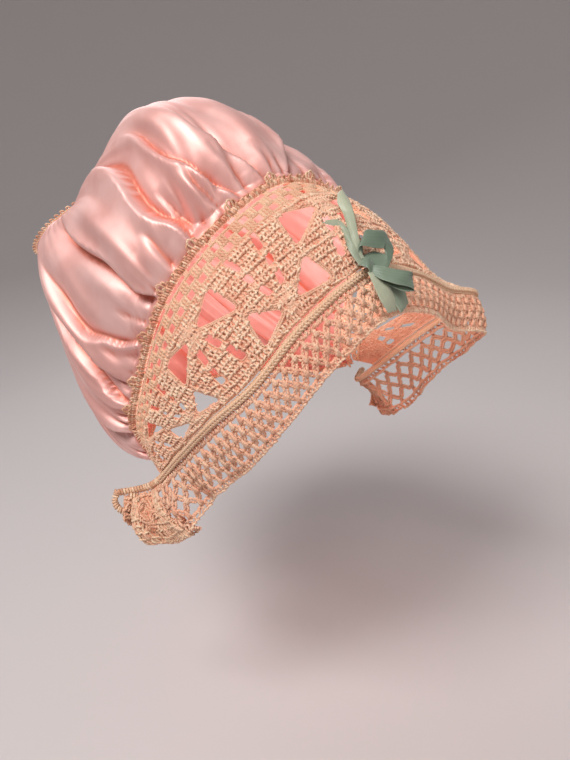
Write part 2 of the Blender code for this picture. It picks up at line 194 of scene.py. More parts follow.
satinLook = {
    "light": (0.86, 0.54, 0.50),
    "middle": (0.77, 0.41, 0.37),
    "crease": (0.72, 0.225, 0.155),
    "slub": (0.93, 0.60, 0.54),
    "roughness": 0.49,
    "cloudScale": 26.0,                     # per metre
    "slubScale": (420.0, 5200.0, 1.0),      # along and across the cloth
    "weaveScale": (2600.0, 5200.0, 1.0),
    "bump": (0.10, 0.0004),
    "shader": {
        "Metallic": 0.42,
        "Specular IOR Level": 0.18,
        "Sheen Weight": 0.25,
        "Sheen Roughness": 0.35,
        "Sheen Tint": (1.0, 0.86, 0.82, 1.0),
        "Anisotropic": 0.35,
    },
}


def satinMaterial(look):
    # cloudy pink with painted shade that turns red in the creases and along the cord, with fine slubs along
    # the cloth
    paper = Paper("pinkSatin")
    crease = paper.attribute("crease")
    cloud = paper.noise(look["cloudScale"], 3.0, 0.55)
    soft = paper.mix(cloud.between(0.35, 0.7), look["middle"], look["light"])
    colour = paper.mix(crease.clamped(), soft, look["crease"])
    run = paper.attribute("cloth", "Vector")
    slub = paper.noise(1.0, 2.0, 0.6, paper.place(look["slubScale"], run))
    weave = paper.noise(1.0, 1.0, 0.5, paper.place(look["weaveScale"], run))
    rough = look["roughness"] + (cloud - 0.5) * 0.12 + (slub - 0.5) * 0.10
    shade = paper.mix((slub - 0.35).clamped() * 0.30, colour, look["slub"])
    bump = paper.bump(slub * 0.6 + weave * 0.4, *look["bump"])
    return paper.finish({"Base Color": shade, "Roughness": rough, "Normal": bump}, look["shader"])


cottonLook = {
    "bandCotton": {"deep": (0.66, 0.24, 0.145), "body": (0.83, 0.45, 0.30), "light": (0.95, 0.73, 0.53)},
    "creamCotton": {"deep": (0.56, 0.26, 0.15), "body": (0.80, 0.50, 0.32), "light": (0.93, 0.72, 0.52)},
    "tanCotton": {"deep": (0.58, 0.24, 0.14), "body": (0.80, 0.47, 0.305), "light": (0.93, 0.72, 0.51)},
    # the ground's redder tones are painted shade in the gaps between the stitches
    "groundShadeCotton": {"deep": (0.74, 0.30, 0.18), "body": (0.84, 0.40, 0.26), "light": (0.90, 0.50, 0.33)},
}
cottonFinish = {
    "ply": 0.0011,          # length of one turn of a strand's two plies, in metres
    "fuzzScale": 2600.0,    # per metre
    "patchScale": 34.0,
    "stainScale": 120.0,
    "stops": (0.12, 0.46, 0.86),
    "roughness": 0.72,
    "bump": (0.5, 0.00018),
    "shader": {
        "Specular IOR Level": 0.35,
        "Sheen Weight": 0.35,
        "Sheen Roughness": 0.5,
        "Sheen Tint": (1.0, 0.85, 0.7, 1.0),
    },
}


def cottonMaterial(name, look, finish):
    # crochet cotton: each strand has its own tint, and its two plies show as slanted grooves with painted
    # shade in them
    paper = Paper(name)
    tint = paper.attribute("tint")
    run, cosine, sine = paper.split(paper.attribute("thread", "Vector"))
    angle = run * (2 * math.pi / finish["ply"])
    ply = angle.calc("SINE") * cosine + angle.calc("COSINE") * sine
    fuzz = paper.noise(finish["fuzzScale"], 3.0, 0.7)
    patch = paper.noise(finish["patchScale"], 3.0, 0.6)
    stain = paper.noise(finish["stainScale"], 2.0, 0.5)
    colour = paper.ramp(tint * 0.62 + patch * 0.34 + stain * 0.22 - 0.10, look, finish["stops"])
    groove = (ply * 0.5 + 0.5).between(0.0, 0.55)
    # painted shade in the grooves between the two plies
    grooveShaded = paper.mix((1.0 - groove) * 0.38, colour, look["deep"])
    rough = finish["roughness"] + (fuzz - 0.5) * 0.3
    bump = paper.bump(ply * 0.6 + fuzz * 0.5, *finish["bump"])
    return paper.finish({"Base Color": grooveShaded, "Roughness": rough, "Normal": bump}, finish["shader"])


ribbonLook = {
    "deep": (0.09, 0.135, 0.095),
    "body": (0.20, 0.26, 0.185),
    "light": (0.50, 0.52, 0.37),
    "ribScale": (9000.0, 700.0, 1.0),       # along and across the ribbon
    "cloudScale": 150.0,
    "stops": (0.05, 0.45, 0.95),
    "roughness": 0.38,
    "bump": (0.25, 0.0003),
    "shader": {
        "Specular IOR Level": 0.6,
        "Sheen Weight": 0.3,
        "Sheen Roughness": 0.4,
        "Anisotropic": 0.3,
    },
}


def ribbonMaterial(look):
    # sage ribbon with fine cross ribs; the fade layer holds painted light and shade in each piece's tone,
    # paler along the tails, in waves along the loops and at the selvedges
    paper = Paper("sageRibbon")
    fade = paper.attribute("fade")
    run = paper.attribute("cloth", "Vector")
    rib = paper.noise(1.0, 1.0, 0.5, paper.place(look["ribScale"], run))
    cloud = paper.noise(look["cloudScale"], 3.0, 0.6)
    colour = paper.ramp(fade * 0.8 + cloud * 0.25 + rib * 0.14 - 0.12, look, look["stops"])
    rough = look["roughness"] + (cloud - 0.5) * 0.2
    bump = paper.bump(rib, *look["bump"])
    return paper.finish({"Base Color": colour, "Roughness": rough, "Normal": bump}, look["shader"])


pinkSatin = satinMaterial(satinLook)
cottons = {name: cottonMaterial(name, look, cottonFinish) for name, look in cottonLook.items()}
sageRibbon = ribbonMaterial(ribbonLook)
print("materials ready")


# shapes shared with the solids, in metres
capCentre = np.array((0.0, 0.0, -0.105))
seamGap = 0.0006        # between the edge of a piece and the cord or rib that it joins
cordRadius = 0.0021
ribRadius = 0.0023
napeRadius = 0.0016
firstStation = -6       # stations are counted along the cord and rib, 0 in the middle of the front
earStation = 5.0
earReach = 4.8          # station of the cord's end
bandReach = 4.65        # station of the band's end
meshReach = 5.85        # station of the net's end
# one row for each station: cord, rib and hem, and how far the band bulges
sections = [
    ((-0.092, 0.022, -0.160), (-0.118, 0.037, -0.169), (-0.117, 0.030, -0.196), 0.000),
    ((-0.092, 0.022, -0.157), (-0.100, 0.022, -0.168), (-0.104, -0.008, -0.196), 0.000),
    ((-0.097, 0.033, -0.132), (-0.094, -0.008, -0.145), (-0.085, -0.020, -0.173), 0.002),
    ((-0.094, 0.018, -0.102), (-0.088, -0.043, -0.119), (-0.079, -0.055, -0.148), 0.003),
    ((-0.082, -0.011, -0.054), (-0.073, -0.068, -0.099), (-0.067, -0.082, -0.121), 0.005),
    ((-0.050, -0.031, -0.020), (-0.045, -0.085, -0.072), (-0.041, -0.097, -0.096), 0.007),
    ((0.000, -0.036, -0.003), (0.000, -0.092, -0.056), (0.000, -0.102, -0.081), 0.008),
    ((0.050, -0.031, -0.020), (0.046, -0.085, -0.068), (0.043, -0.097, -0.092), 0.007),
    ((0.082, -0.011, -0.054), (0.079, -0.085, -0.086), (0.072, -0.090, -0.111), 0.005),
    ((0.094, 0.018, -0.102), (0.104, -0.087, -0.098), (0.101, -0.093, -0.123), 0.003),
    ((0.097, 0.033, -0.132), (0.110, -0.036, -0.128), (0.112, -0.050, -0.156), 0.002),
    ((0.092, 0.022, -0.157), (0.100, 0.022, -0.168), (0.104, -0.008, -0.196), 0.000),
    ((0.092, 0.022, -0.160), (0.118, 0.037, -0.169), (0.117, 0.030, -0.196), 0.000),
]
# the bag's pull points over each station in front, near the cord and near the medallion
bagFront = [
    ((-0.104, 0.045, -0.161), (-0.104, 0.106, -0.126)),
    ((-0.113, 0.048, -0.130), (-0.107, 0.106, -0.082)),
    ((-0.114, 0.032, -0.087), (-0.114, 0.106, -0.020)),
    ((-0.100, 0.000, -0.020), (-0.080, 0.064, 0.012)),
    ((-0.058, -0.028, 0.024), (-0.044, 0.042, 0.084)),
    ((0.000, -0.032, 0.028), (-0.006, 0.052, 0.103)),
    ((0.052, -0.030, 0.006), (0.044, 0.070, 0.080)),
    ((0.092, 0.000, -0.040), (0.086, 0.090, 0.034)),
    ((0.106, 0.034, -0.098), (0.104, 0.120, -0.010)),
    ((0.112, 0.052, -0.130), (0.110, 0.130, -0.060)),
    ((0.106, 0.046, -0.162), (0.100, 0.128, -0.110)),
]
# the same over the nape, with the edge's own point first
bagNape = [
    ((0.078, 0.062, -0.160), (0.086, 0.090, -0.168), (0.072, 0.150, -0.112)),
    ((0.044, 0.092, -0.150), (0.050, 0.122, -0.160), (0.040, 0.170, -0.096)),
    ((0.000, 0.104, -0.146), (0.000, 0.136, -0.155), (-0.004, 0.180, -0.088)),
    ((-0.044, 0.092, -0.150), (-0.050, 0.122, -0.160), (-0.050, 0.170, -0.096)),
    ((-0.078, 0.062, -0.160), (-0.088, 0.090, -0.168), (-0.088, 0.140, -0.116)),
]
bagStations = 16
medallionCentre = np.array((-0.034, 0.144, -0.010))
medallionRadius = 0.047
medallionDome = 0.006
medallionGap = 0.0002
tiny = 1e-12


def unit(vectors):
    return vectors / np.maximum(np.linalg.norm(vectors, axis=-1, keepdims=True), tiny)


def dot(a, b):
    return (a * b).sum(axis=-1, keepdims=True)


def turns(count):
    # angles spread evenly over one turn
    return np.linspace(0, 2 * math.pi, count, endpoint=False)


medallionNormal = unit(np.array((-0.10, 0.45, 0.89)))
medallionSide = unit(np.array((1.0, 0.0, 0.0)) - medallionNormal * medallionNormal[0])
medallionBack = np.cross(medallionNormal, medallionSide)


def medallionRing(r, turn):
    # a point of the medallion's plane, at a distance and an angle from its middle
    return medallionCentre + medallionSide * r * np.sin(turn) - medallionBack * r * np.cos(turn)


def spline(points, t, closed=False):
    # smooth curve through points that are one unit apart
    points = np.asarray(points, dtype=float)
    count = len(points)
    t = np.asarray(t, dtype=float)
    index = np.floor(t).astype(int)
    if closed:
        pick = [points[(index + k) % count] for k in (-1, 0, 1, 2)]
    else:
        index = np.clip(index, 0, count - 2)
        pick = [points[np.clip(index + k, 0, count - 1)] for k in (-1, 0, 1, 2)]
    f = (t - index)[..., None]
    a, b, c, d = pick
    slopeIn = (c - a) * 0.5
    slopeOut = (d - b) * 0.5
    return (b * (2 * f ** 3 - 3 * f ** 2 + 1) + slopeIn * (f ** 3 - 2 * f ** 2 + f)
            + c * (3 * f ** 2 - 2 * f ** 3) + slopeOut * (f ** 3 - f ** 2))


cordPoints, ribPoints, edgePoints, bulges = (list(column) for column in zip(*sections))


def cordPoint(s):
    return spline(cordPoints, np.asarray(s) - firstStation)


def ribPoint(s):
    return spline(ribPoints, np.asarray(s) - firstStation)


def edgePoint(s):
    return spline(edgePoints, np.asarray(s) - firstStation)


def outward(point, along):
    # away from the middle of the cap, square to a line
    out = unit(point - capCentre)
    along = unit(along)
    return unit(out - along * dot(out, along))


def alongCurve(curve, s, step=0.02):
    return unit(curve(s + step) - curve(s - step))


def clearance(curve, s, line, radius):
    # how far a piece starts from the middle of the cord that it joins at a slant
    slant = np.linalg.norm(np.cross(line, alongCurve(curve, s)), axis=-1, keepdims=True)
    return (radius + seamGap) / np.maximum(slant, 0.4)


def bandPoint(s, v):
    # v is 0 at the cord and 1 at the rib
    s, v = np.broadcast_arrays(np.asarray(s, dtype=float), np.asarray(v, dtype=float))
    cord, rib = cordPoint(s), ribPoint(s)
    line = unit(rib - cord)
    start = cord + line * clearance(cordPoint, s, line, cordRadius)
    end = rib - line * clearance(ribPoint, s, line, ribRadius)
    share = v[..., None]
    middle = start + (end - start) * share
    bulge = np.interp(s, np.arange(len(bulges)) + firstStation, bulges)[..., None]
    return middle + outward(middle, line) * bulge * 4 * share * (1 - share)


ruffle = {"start": 2.6, "rise": 1.8, "waves": 1.15, "depth": 0.0055, "curl": 0.002}


def meshPoint(s, w):
    # w is 0 at the rib and 1 at the hem
    s, w = np.broadcast_arrays(np.asarray(s, dtype=float), np.asarray(w, dtype=float))
    rib, edge = ribPoint(s), edgePoint(s)
    line = unit(edge - rib)
    start = rib + line * clearance(ribPoint, s, line, ribRadius)
    share = w[..., None]
    middle = start + (edge - start) * share
    beyond = np.maximum(np.abs(s) - ruffle["start"], 0.0)
    reach = np.minimum(beyond / ruffle["rise"], 1.0)
    wave = ruffle["depth"] * reach * w * np.sin(2 * math.pi * ruffle["waves"] * beyond)
    lift = ruffle["curl"] * np.sin(math.pi * w) + wave
    return middle + outward(middle, line) * lift[..., None]


def normalOf(surface, a, b, step=0.01):
    # the side of a surface that looks away from the middle of the cap
    across = surface(a + step, b) - surface(a - step, b)
    down = surface(a, b + step) - surface(a, b - step)
    normal = unit(np.cross(across, down))
    away = dot(normal, surface(a, b) - capCentre)
    return np.where(away < 0, -normal, normal)


# threads
def tubes(lines, radius, sides=4, ups=None, closed=False, tints=None):
    # many threads of the same number of points: lines is (threads, points, 3)
    lines = np.asarray(lines, dtype=float)
    count, steps, _ = lines.shape
    if closed:
        ahead = unit(np.roll(lines, -1, 1) - np.roll(lines, 1, 1))
    else:
        ahead = unit(np.gradient(lines, axis=1))
    if ups is None:
        ups = outward(lines, ahead)
    ups = np.broadcast_to(ups, lines.shape)
    side = unit(np.cross(ahead, ups))
    rise = np.cross(side, ahead)
    turn = 2 * math.pi * (np.arange(sides) + 0.5) / sides
    ring = (side[:, :, None] * np.cos(turn)[None, None, :, None]
            + rise[:, :, None] * np.sin(turn)[None, None, :, None])
    radius = np.broadcast_to(np.asarray(radius, dtype=float), (count, steps))
    verts = lines[:, :, None] + ring * radius[:, :, None, None]
    step = np.linalg.norm(np.diff(lines, axis=1), axis=-1)
    run = np.concatenate([np.zeros((count, 1)), np.cumsum(step, axis=1)], axis=1)
    thread = np.empty((count, steps, sides, 3))
    thread[..., 0] = run[:, :, None]
    thread[..., 1] = np.cos(turn)
    thread[..., 2] = np.sin(turn)
    # the tint, the run along the thread and the angle round it go to the material
    if tints is None:
        tints = dice.random(count)
    tints = np.asarray(tints, dtype=float)
    tints = tints[:, None] if tints.ndim == 1 else tints
    tint = np.broadcast_to(tints[:, :, None], (count, steps, sides))
    index = np.arange(count * steps * sides).reshape(count, steps, sides)
    here = index if closed else index[:, :-1]
    after = np.roll(index, -1, 1) if closed else index[:, 1:]
    faces = np.stack([here, np.roll(here, -1, 2), np.roll(after, -1, 2), after], axis=-1).reshape(-1, 4)
    if not closed:
        caps = []
        for end, order in ((index[:, 0], 1), (index[:, -1], -1)):
            corners = [end[:, [0, k, k + 1, k + 2]] for k in range(1, sides - 2, 2)]
            caps.extend(c[:, ::-order] for c in corners)
        faces = np.concatenate([faces, *caps])
    return verts.reshape(-1, 3), faces, tint.reshape(-1), thread.reshape(-1, 3)


def runOf(line):
    # length along a line up to each of its points
    return np.concatenate([[0.0], np.cumsum(np.linalg.norm(np.diff(line, axis=0), axis=1))])


def resample(line, step, closed=False):
    # the same line with its points a step apart
    line = np.asarray(line, dtype=float)
    if closed:
        line = np.concatenate([line, line[:1]])
    run = runOf(line)
    count = max(int(round(run[-1] / step)), 4)
    places = np.linspace(0.0, run[-1], count + 1)
    if closed:
        places = places[:-1]
    return np.stack([np.interp(places, run, line[:, k]) for k in range(3)], axis=1)


plying = {"plies": 2, "thick": 0.56, "shades": 0.1}   # thick is a share of the cord's radius


def twist(line, radius, pitch, step, closed=False, tint=None, hand=1):
    # a cord of plies wound round each other along a line
    plies, thick, shades = plying["plies"], plying["thick"], plying["shades"]
    line = resample(line, step, closed)
    count = len(line)
    if closed:
        ahead = unit(np.roll(line, -1, 0) - np.roll(line, 1, 0))
    else:
        ahead = unit(np.gradient(line, axis=0))
    up = outward(line, ahead)
    side = np.cross(ahead, up)
    rounds = max(round(runOf(line)[-1] / pitch), 1)
    phase = hand * 2 * math.pi * rounds * np.arange(count) / (count if closed else count - 1)
    made = []
    for k in range(plies):
        a = (phase + 2 * math.pi * k / plies)[:, None]
        made.append(line + (up * np.sin(a) + side * np.cos(a)) * radius * (1 - thick))
    tints = None if tint is None else np.full(plies, tint) + dice.uniform(-shades, shades, plies)
    return tubes(np.stack(made), radius * thick, ups=np.stack([up] * plies), closed=closed, tints=tints)


def joinParts(parts):
    verts, faces, tints, threads = zip(*parts)
    starts = np.cumsum([0, *(len(v) for v in verts[:-1])])
    faces = [f + start for f, start in zip(faces, starts)]
    return [np.concatenate(column) for column in (verts, faces, tints, threads)]


pieceCollection = bpy.data.collections.new("boudoirCap")
bpy.context.scene.collection.children.link(pieceCollection)
dice = np.random.default_rng(1912)


def smoothMesh(name, verts, faces, material):
    mesh = bpy.data.meshes.new(name)
    mesh.from_pydata(verts, [], faces)
    mesh.polygons.foreach_set("use_smooth", np.ones(len(mesh.polygons), dtype=bool))
    mesh.materials.append(material)
    return mesh


def meshPiece(name, verts, faces, material, numbers, vectors):
    # numbers and vectors are layers that the material reads
    mesh = smoothMesh(name, verts, faces.tolist(), material)
    for key, values in numbers.items():
        layer = mesh.attributes.new(key, "FLOAT", "POINT")
        layer.data.foreach_set("value", np.asarray(values, dtype=np.float32).ravel())
    for key, values in vectors.items():
        layer = mesh.attributes.new(key, "FLOAT_VECTOR", "POINT")
        layer.data.foreach_set("vector", np.asarray(values, dtype=np.float32).ravel())
    mesh.update()
    obj = bpy.data.objects.new(name, mesh)
    pieceCollection.objects.link(obj)
    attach(obj, "root")
    print(name, (faces.shape[1] - 2) * len(faces), "triangles")
    return obj


def threadPiece(name, parts, cotton, slot, *nodes):
    verts, faces, tints, threads = joinParts(parts)
    obj = meshPiece(name, verts, faces, cottons[cotton], {"tint": tints}, {"thread": threads})
    if nodes:
        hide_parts(*nodes)
    return obj


# satin crown
satin = {
    "around": 600,
    "along": 118,
    "puff": 0.0015,
    # pleats: share of the way back and station of each point, depth, width on either side, where it ends
    "pleats": [
        ([(0.0, -1.29), (0.19, -1.46), (0.38, -1.54), (0.77, -1.38), (1.0, -1.3)], 0.012, 0.061, 0.62, 0.95),
        ([(0.0, -0.56), (0.25, -0.96), (0.46, -1.12), (0.6, -1.04), (1.0, -0.9)], 0.0085, 0.055, 0.4, 0.75),
        ([(0.0, -0.2), (0.19, -0.33), (0.35, -0.54), (0.54, -0.58), (0.8, -0.5)], 0.0065, 0.066, 0.36, 0.65),
        ([(0.0, -2.04), (0.15, -2.29), (0.27, -2.25), (0.54, -2.25), (1.0, -2.25)], 0.012, 0.52, 0.055, 0.9),
        ([(0.0, -2.58), (0.25, -2.79), (0.38, -2.96), (0.7, -3.0), (1.0, -3.0)], 0.008, 0.066, 0.4, 0.8),
        ([(0.0, -3.2), (0.16, -3.26), (0.31, -3.2), (0.5, -3.15), (1.0, -3.2)], 0.007, 0.3, 0.055, 0.6),
        ([(0.0, -3.58), (0.19, -3.54), (0.31, -3.42), (0.7, -3.5), (1.0, -3.6)], 0.0085, 0.066, 0.34, 0.85),
        ([(0.0, -4.3), (0.3, -4.4), (0.6, -4.3), (1.0, -4.2)], 0.008, 0.34, 0.066, 0.9),
        ([(0.0, 0.16), (0.04, 0.17), (0.29, 0.55), (0.6, 0.5), (1.0, 0.4)], 0.0085, 0.066, 0.5, 0.8),
        ([(0.0, 1.0), (0.3, 1.25), (0.6, 1.1), (1.0, 0.9)], 0.009, 0.46, 0.066, 0.9),
        ([(0.0, 1.9), (0.3, 1.8), (0.6, 1.95), (1.0, 2.0)], 0.0095, 0.066, 0.48, 0.85),
        ([(0.0, 2.6), (0.3, 2.75), (0.6, 2.7), (1.0, 2.6)], 0.0075, 0.36, 0.066, 0.7),
        ([(0.0, 3.5), (0.3, 3.4), (0.6, 3.5), (1.0, 3.6)], 0.0095, 0.077, 0.5, 0.9),
        ([(0.0, 4.4), (0.3, 4.5), (1.0, 4.4)], 0.008, 0.4, 0.077, 0.8),
        ([(0.0, 5.5), (0.4, 5.7), (1.0, 5.6)], 0.009, 0.5, 0.077, 0.95),
        ([(0.0, 6.6), (0.4, 6.5), (1.0, 6.7)], 0.008, 0.077, 0.5, 0.8),
        ([(0.0, 7.7), (0.4, 7.8), (1.0, 7.6)], 0.0095, 0.5, 0.077, 0.95),
        ([(0.0, 8.8), (0.4, 8.7), (1.0, 8.9)], 0.0085, 0.077, 0.5, 0.8),
        ([(0.0, 9.9), (0.4, 10.0), (1.0, 10.0)], 0.009, 0.5, 0.077, 0.9),
    ],
    # short tucks by the cord: station, drift, reach, depth, width
    "tucks": [(-1.67, -0.3, 0.26, 0.0050, 0.16), (-1.12, -0.9, 0.34, 0.0055, 0.18),
              (-0.85, -0.8, 0.28, 0.0042, 0.15), (-0.38, -0.8, 0.28, 0.0048, 0.16),
              (-0.02, -0.5, 0.22, 0.0042, 0.14), (-2.36, -0.6, 0.26, 0.0045, 0.16),
              (-2.82, -0.6, 0.28, 0.0045, 0.16), (-3.90, 0.2, 0.30, 0.0050, 0.16),
              (0.42, 0.5, 0.24, 0.0045, 0.16), (0.75, 0.4, 0.28, 0.0045, 0.15),
              (1.35, 0.3, 0.24, 0.0045, 0.16), (2.25, 0.2, 0.28, 0.0045, 0.16),
              (3.0, 0.2, 0.24, 0.0045, 0.16), (3.95, 0.2, 0.26, 0.0045, 0.16)],
    # gathers: folds in one station, depth, where deepest, how fast it dies away, sharpness
    "gathers": [(5.6, 0.0026, 0.030, 0.085, 0.80), (3.1, 0.0036, 0.100, 0.19, 0.65),
                (1.7, 0.0034, 0.22, 0.32, 0.45), (0.9, 0.0022, 0.40, 0.50, 0.20)],
    # seeded waves: size, least and most in one station, slant
    "sway": [(0.05, 0.4, 1.4, 2.0), (0.02, 1.0, 3.0, 5.0)],
    "warp": [(0.34, 0.3, 1.1, 0.7), (0.20, 1.0, 2.4, 1.3)],
    "uneven": [(0.0011, 0.5, 2.6, 1.2), (0.00035, 1.6, 4.6, 3.0)],
    "calm": (-2.7, 1.0, 0.65),          # broad calm panels over the right side: station, width, share
    "rimCrumple": (0.0016, 0.12),       # small folds by the medallion: depth, reach
    # hollows that get painted red crease shade: steps to either side, and the depth of a full crease
    "hollows": [(4, 0.0026), (2, 0.0011)],
    "seamShade": (0.55, 0.04),          # painted crease shade along the cord: share, reach
    "clothSize": (0.045, 0.17),         # metres of cloth in one station and from cord to medallion
}


def napePoint(t):
    points = [cordPoint(earReach), *(np.array(row[0]) for row in bagNape), cordPoint(-earReach)]
    return spline(points, t)


def rimCentre(station):
    # the line that the bag is sewn to: the cord in front and the nape behind
    front = np.abs(station) <= earStation
    onCord = cordPoint(np.clip(station, -earStation, earStation) * earReach / earStation)
    onNape = napePoint(np.clip(station - earStation, 0.0, len(bagNape) + 1.0))
    return np.where(front[..., None], onCord, onNape)


bagFirsts = [row[0] for row in bagFront] + [row[1] for row in bagNape]
bagSeconds = [row[1] for row in bagFront] + [row[2] for row in bagNape]


def bagEdge(station, pullPoint, reach):
    # the satin leaves the cord or nape on the side that it is pulled to
    centre = rimCentre(station)
    along = alongCurve(rimCentre, station)
    pull = pullPoint - centre
    pull = unit(pull - along * dot(pull, along))
    return centre + pull * reach


def bagSmooth(station, rho):
    # the bag before its folds; rho is 0 at the cord and 1 at the medallion
    t = (station + earStation) % bagStations
    first = spline(bagFirsts, t, closed=True)
    second = spline(bagSeconds, t, closed=True)
    wrapped = np.where(station > bagStations - earStation, station - bagStations, station)
    near = (np.abs(wrapped) < earStation + 0.7)[..., None]
    radius = np.where(near, cordRadius, napeRadius)
    edge = bagEdge(wrapped, first, radius + seamGap)
    end = medallionRing(medallionRadius + medallionGap, (2 * math.pi * wrapped / bagStations)[..., None])
    r = rho[..., None]
    a = 1 - r
    return edge * a ** 3 + first * 3 * a * a * r + second * 3 * a * r * r + end * r ** 3


def around(distance):
    # the shorter way round the bag
    return distance - bagStations * np.round(distance / bagStations)


def waves(station, rho, count, low, high, slant):
    # a sum of seeded waves that repeats once round the bag
    total = np.zeros_like(station)
    for _ in range(count):
        cycles = round(dice.uniform(low, high) * bagStations) / bagStations
        drift = dice.uniform(-slant, slant)
        total += np.sin(2 * math.pi * (cycles * station + drift * rho + dice.random())) / math.sqrt(count)
    return total


def waveSum(station, rho, count, rows):
    return sum(size * waves(station, rho, count, low, high, slant) for size, low, high, slant in rows)


def growing(value, length):
    # from 0 to 1 over a length
    return np.clip(value / length, 0.0, 1.0)


def pleatProfile(away, left, right, power):
    # a sharp valley with nearly flat sides
    share = np.clip(1.0 - np.abs(away) / np.where(away < 0, left, right), 0.0, 1.0)
    return share ** power


def satinDepth(station, rho):
    # how far the cloth sinks below its smooth shape
    depth = np.zeros_like(station)
    sway = waveSum(station, rho, 6, satin["sway"])
    shifts = (-0.06, -0.03, 0.0, 0.03, 0.06)
    for path, fold, left, right, stop in satin["pleats"]:
        shares, stations = zip(*path)
        line = sum(np.interp(rho + shift, shares, stations) for shift in shifts) / len(shifts)
        away = around(station - line - sway * growing(rho, 0.2))
        spread = 0.45 + 0.75 * growing(rho, 0.35)
        fade = growing(stop - rho, 0.30)
        size = fold * (0.45 + 0.55 * growing(rho, 0.15)) * fade * fade * (3 - 2 * fade)
        depth += size * pleatProfile(away, left * spread, right * spread, 1.35)
    for place, drift, reach, fold, width in satin["tucks"]:
        away = around(station - place - drift * rho + sway)
        along = np.clip(1.0 - rho / reach, 0.0, 1.0)
        hand = 0.45 if drift < 0 else 1.0
        depth += fold * pleatProfile(away, width * hand, width * (1.45 - hand), 1.2) * along ** 0.7
    pleats = depth.copy()
    for folds, fold, peak, fall, sharp in satin["gathers"]:
        cycles = round(folds * bagStations) / bagStations
        turn = 2 * math.pi * (cycles * station + waveSum(station, rho, 5, satin["warp"]))
        size = np.clip(0.62 + 0.5 * waves(station, rho, 6, 0.6, 1.9, 1.0), 0.05, 1.3)
        window = np.clip(rho / peak, 0.25, 1.0) * np.exp(-np.maximum(rho - peak, 0.0) / fall)
        cusp = 1.0 - np.abs(np.sin(turn / 2)) ** 0.9
        soft = 0.5 + 0.5 * np.sin(turn + 0.7 * np.sin(turn))
        depth += fold * size * window * (sharp * cusp + (1 - sharp) * soft)
    place, width, share = satin["calm"]
    calm = np.exp(-(around(station - place) / width) ** 2) * growing(rho - 0.16, 0.2)
    depth = pleats + (depth - pleats) * (1 - share * calm)
    fold, reach = satin["rimCrumple"]
    depth += fold * (1 - np.abs(waves(station, rho, 8, 1.5, 4.5, 1.5))) * np.exp(-(1 - rho) / reach)
    for row in satin["uneven"]:
        depth += waveSum(station, rho, 14, [row]) * np.sin(math.pi * rho)
    return depth * (0.25 + 0.75 * growing(rho, 0.03)) * growing(1.0 - rho, 0.05)


def hollowShare(depth, reach, scale):
    # how much deeper a place lies than the cloth a few steps to either side
    wide = sum(np.roll(depth, k, 0) for k in range(-reach, reach + 1)) / (2 * reach + 1)
    return np.clip((depth - wide) / scale, 0.0, 1.0)


def buildSatin():
    station = np.linspace(-earStation, bagStations - earStation, satin["around"], endpoint=False)
    rho = np.linspace(0.0, 1.0, satin["along"] + 1) ** 1.15
    s, r = np.meshgrid(station, rho, indexing="ij")
    point = bagSmooth(s, r)
    step = 0.02
    across = bagSmooth(s + step, r) - bagSmooth(s - step, r)
    along = bagSmooth(s, np.minimum(r + step, 1.0)) - bagSmooth(s, np.maximum(r - step, 0.0))
    normal = unit(np.cross(along, across))
    depth = satinDepth(s, r)
    # painted shade: the hollows of the folds and a strip along the cord are mixed toward the red crease
    # colour
    crease = np.maximum(*(hollowShare(depth, reach, scale) for reach, scale in satin["hollows"])) ** 1.8
    share, reach = satin["seamShade"]
    crease = np.maximum(crease, share * np.clip(1.0 - r / reach, 0.0, 1.0))
    point = point + normal * (depth - satin["puff"] * np.sin(math.pi * r))[..., None]
    index = np.arange(s.size).reshape(s.shape)
    after = np.roll(index, -1, 0)
    faces = np.stack([index[:, :-1], index[:, 1:], after[:, 1:], after[:, :-1]], axis=-1).reshape(-1, 4)
    wide, deep = satin["clothSize"]
    cloth = np.stack([s * wide, r * deep, np.zeros_like(s)], axis=-1)
    obj = meshPiece("satinCrown", point.reshape(-1, 3), faces, pinkSatin,
                    {"crease": crease}, {"cloth": cloth})
    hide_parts("satin_crown")
    return obj


satinCrown = buildSatin()


# crochet band
band = {
    "stitch": 0.00234,     # one stitch along a row
    "row": 0.00348,        # one row of stitches
    "strand": 0.00074,     # half the thickness of the cotton
    "firstRow": 0.245,     # places across the band, from the cord to the rib
    "lastRow": 0.975,
    "rimRow": 0.985,
    "groundEnd": 0.99,
    "eyeletRows": (0.052, 0.143, 0.234),
    "eyelets": 44,
    # the fans open to the rib and to the cord by turns: where the threads of each kind meet
    "stars": (0.41, 0.85),
    # corners of the big holes beside every second fan: distance from its middle, place across
    "windows": (((0.49, 0.262), (0.96, 0.40), (0.41, 0.62)), ((0.44, 0.65), (0.56, 0.95), (0.07, 0.87))),
    # slots of each kind of fan: place across, distance from its middle, half width, half length
    "slots": (((0.580, 0.120, 0.052, 0.074), (0.775, 0.195, 0.058, 0.080)),
              ((0.335, 0.175, 0.044, 0.084), (0.515, 0.150, 0.046, 0.048), (0.668, 0.105, 0.046, 0.054))),
    "lean": (0.022, -0.022),
    "bar": (0.72, 0.036),  # stitches between two slots: width as a share of the slot's, least height
    # threads round the holes: radius, lift, pitch and how far out from the hole
    "windowEdges": ((0.00078, 0.0008, 0.0024, 0.0), (0.00078, 0.0010, 0.0024, 0.0016)),
    "slotEdge": (0.00050, 0.0006, 0.0020),
}


def roundOff(corners, rounds=2, cut=0.13):
    # a smooth loop in place of sharp corners
    corners = np.asarray(corners, dtype=float)
    for _ in range(rounds):
        after = np.roll(corners, -1, axis=0)
        corners = np.stack([corners * (1 - cut) + after * cut, corners * cut + after * (1 - cut)],
                           axis=1).reshape(-1, 2)
    return corners


def slotHole(s, v, halfWide, halfLong, lean):
    return [(s - halfWide - lean, v - halfLong), (s + halfWide - lean, v - halfLong),
            (s + halfWide + lean, v + halfLong), (s - halfWide + lean, v + halfLong)]


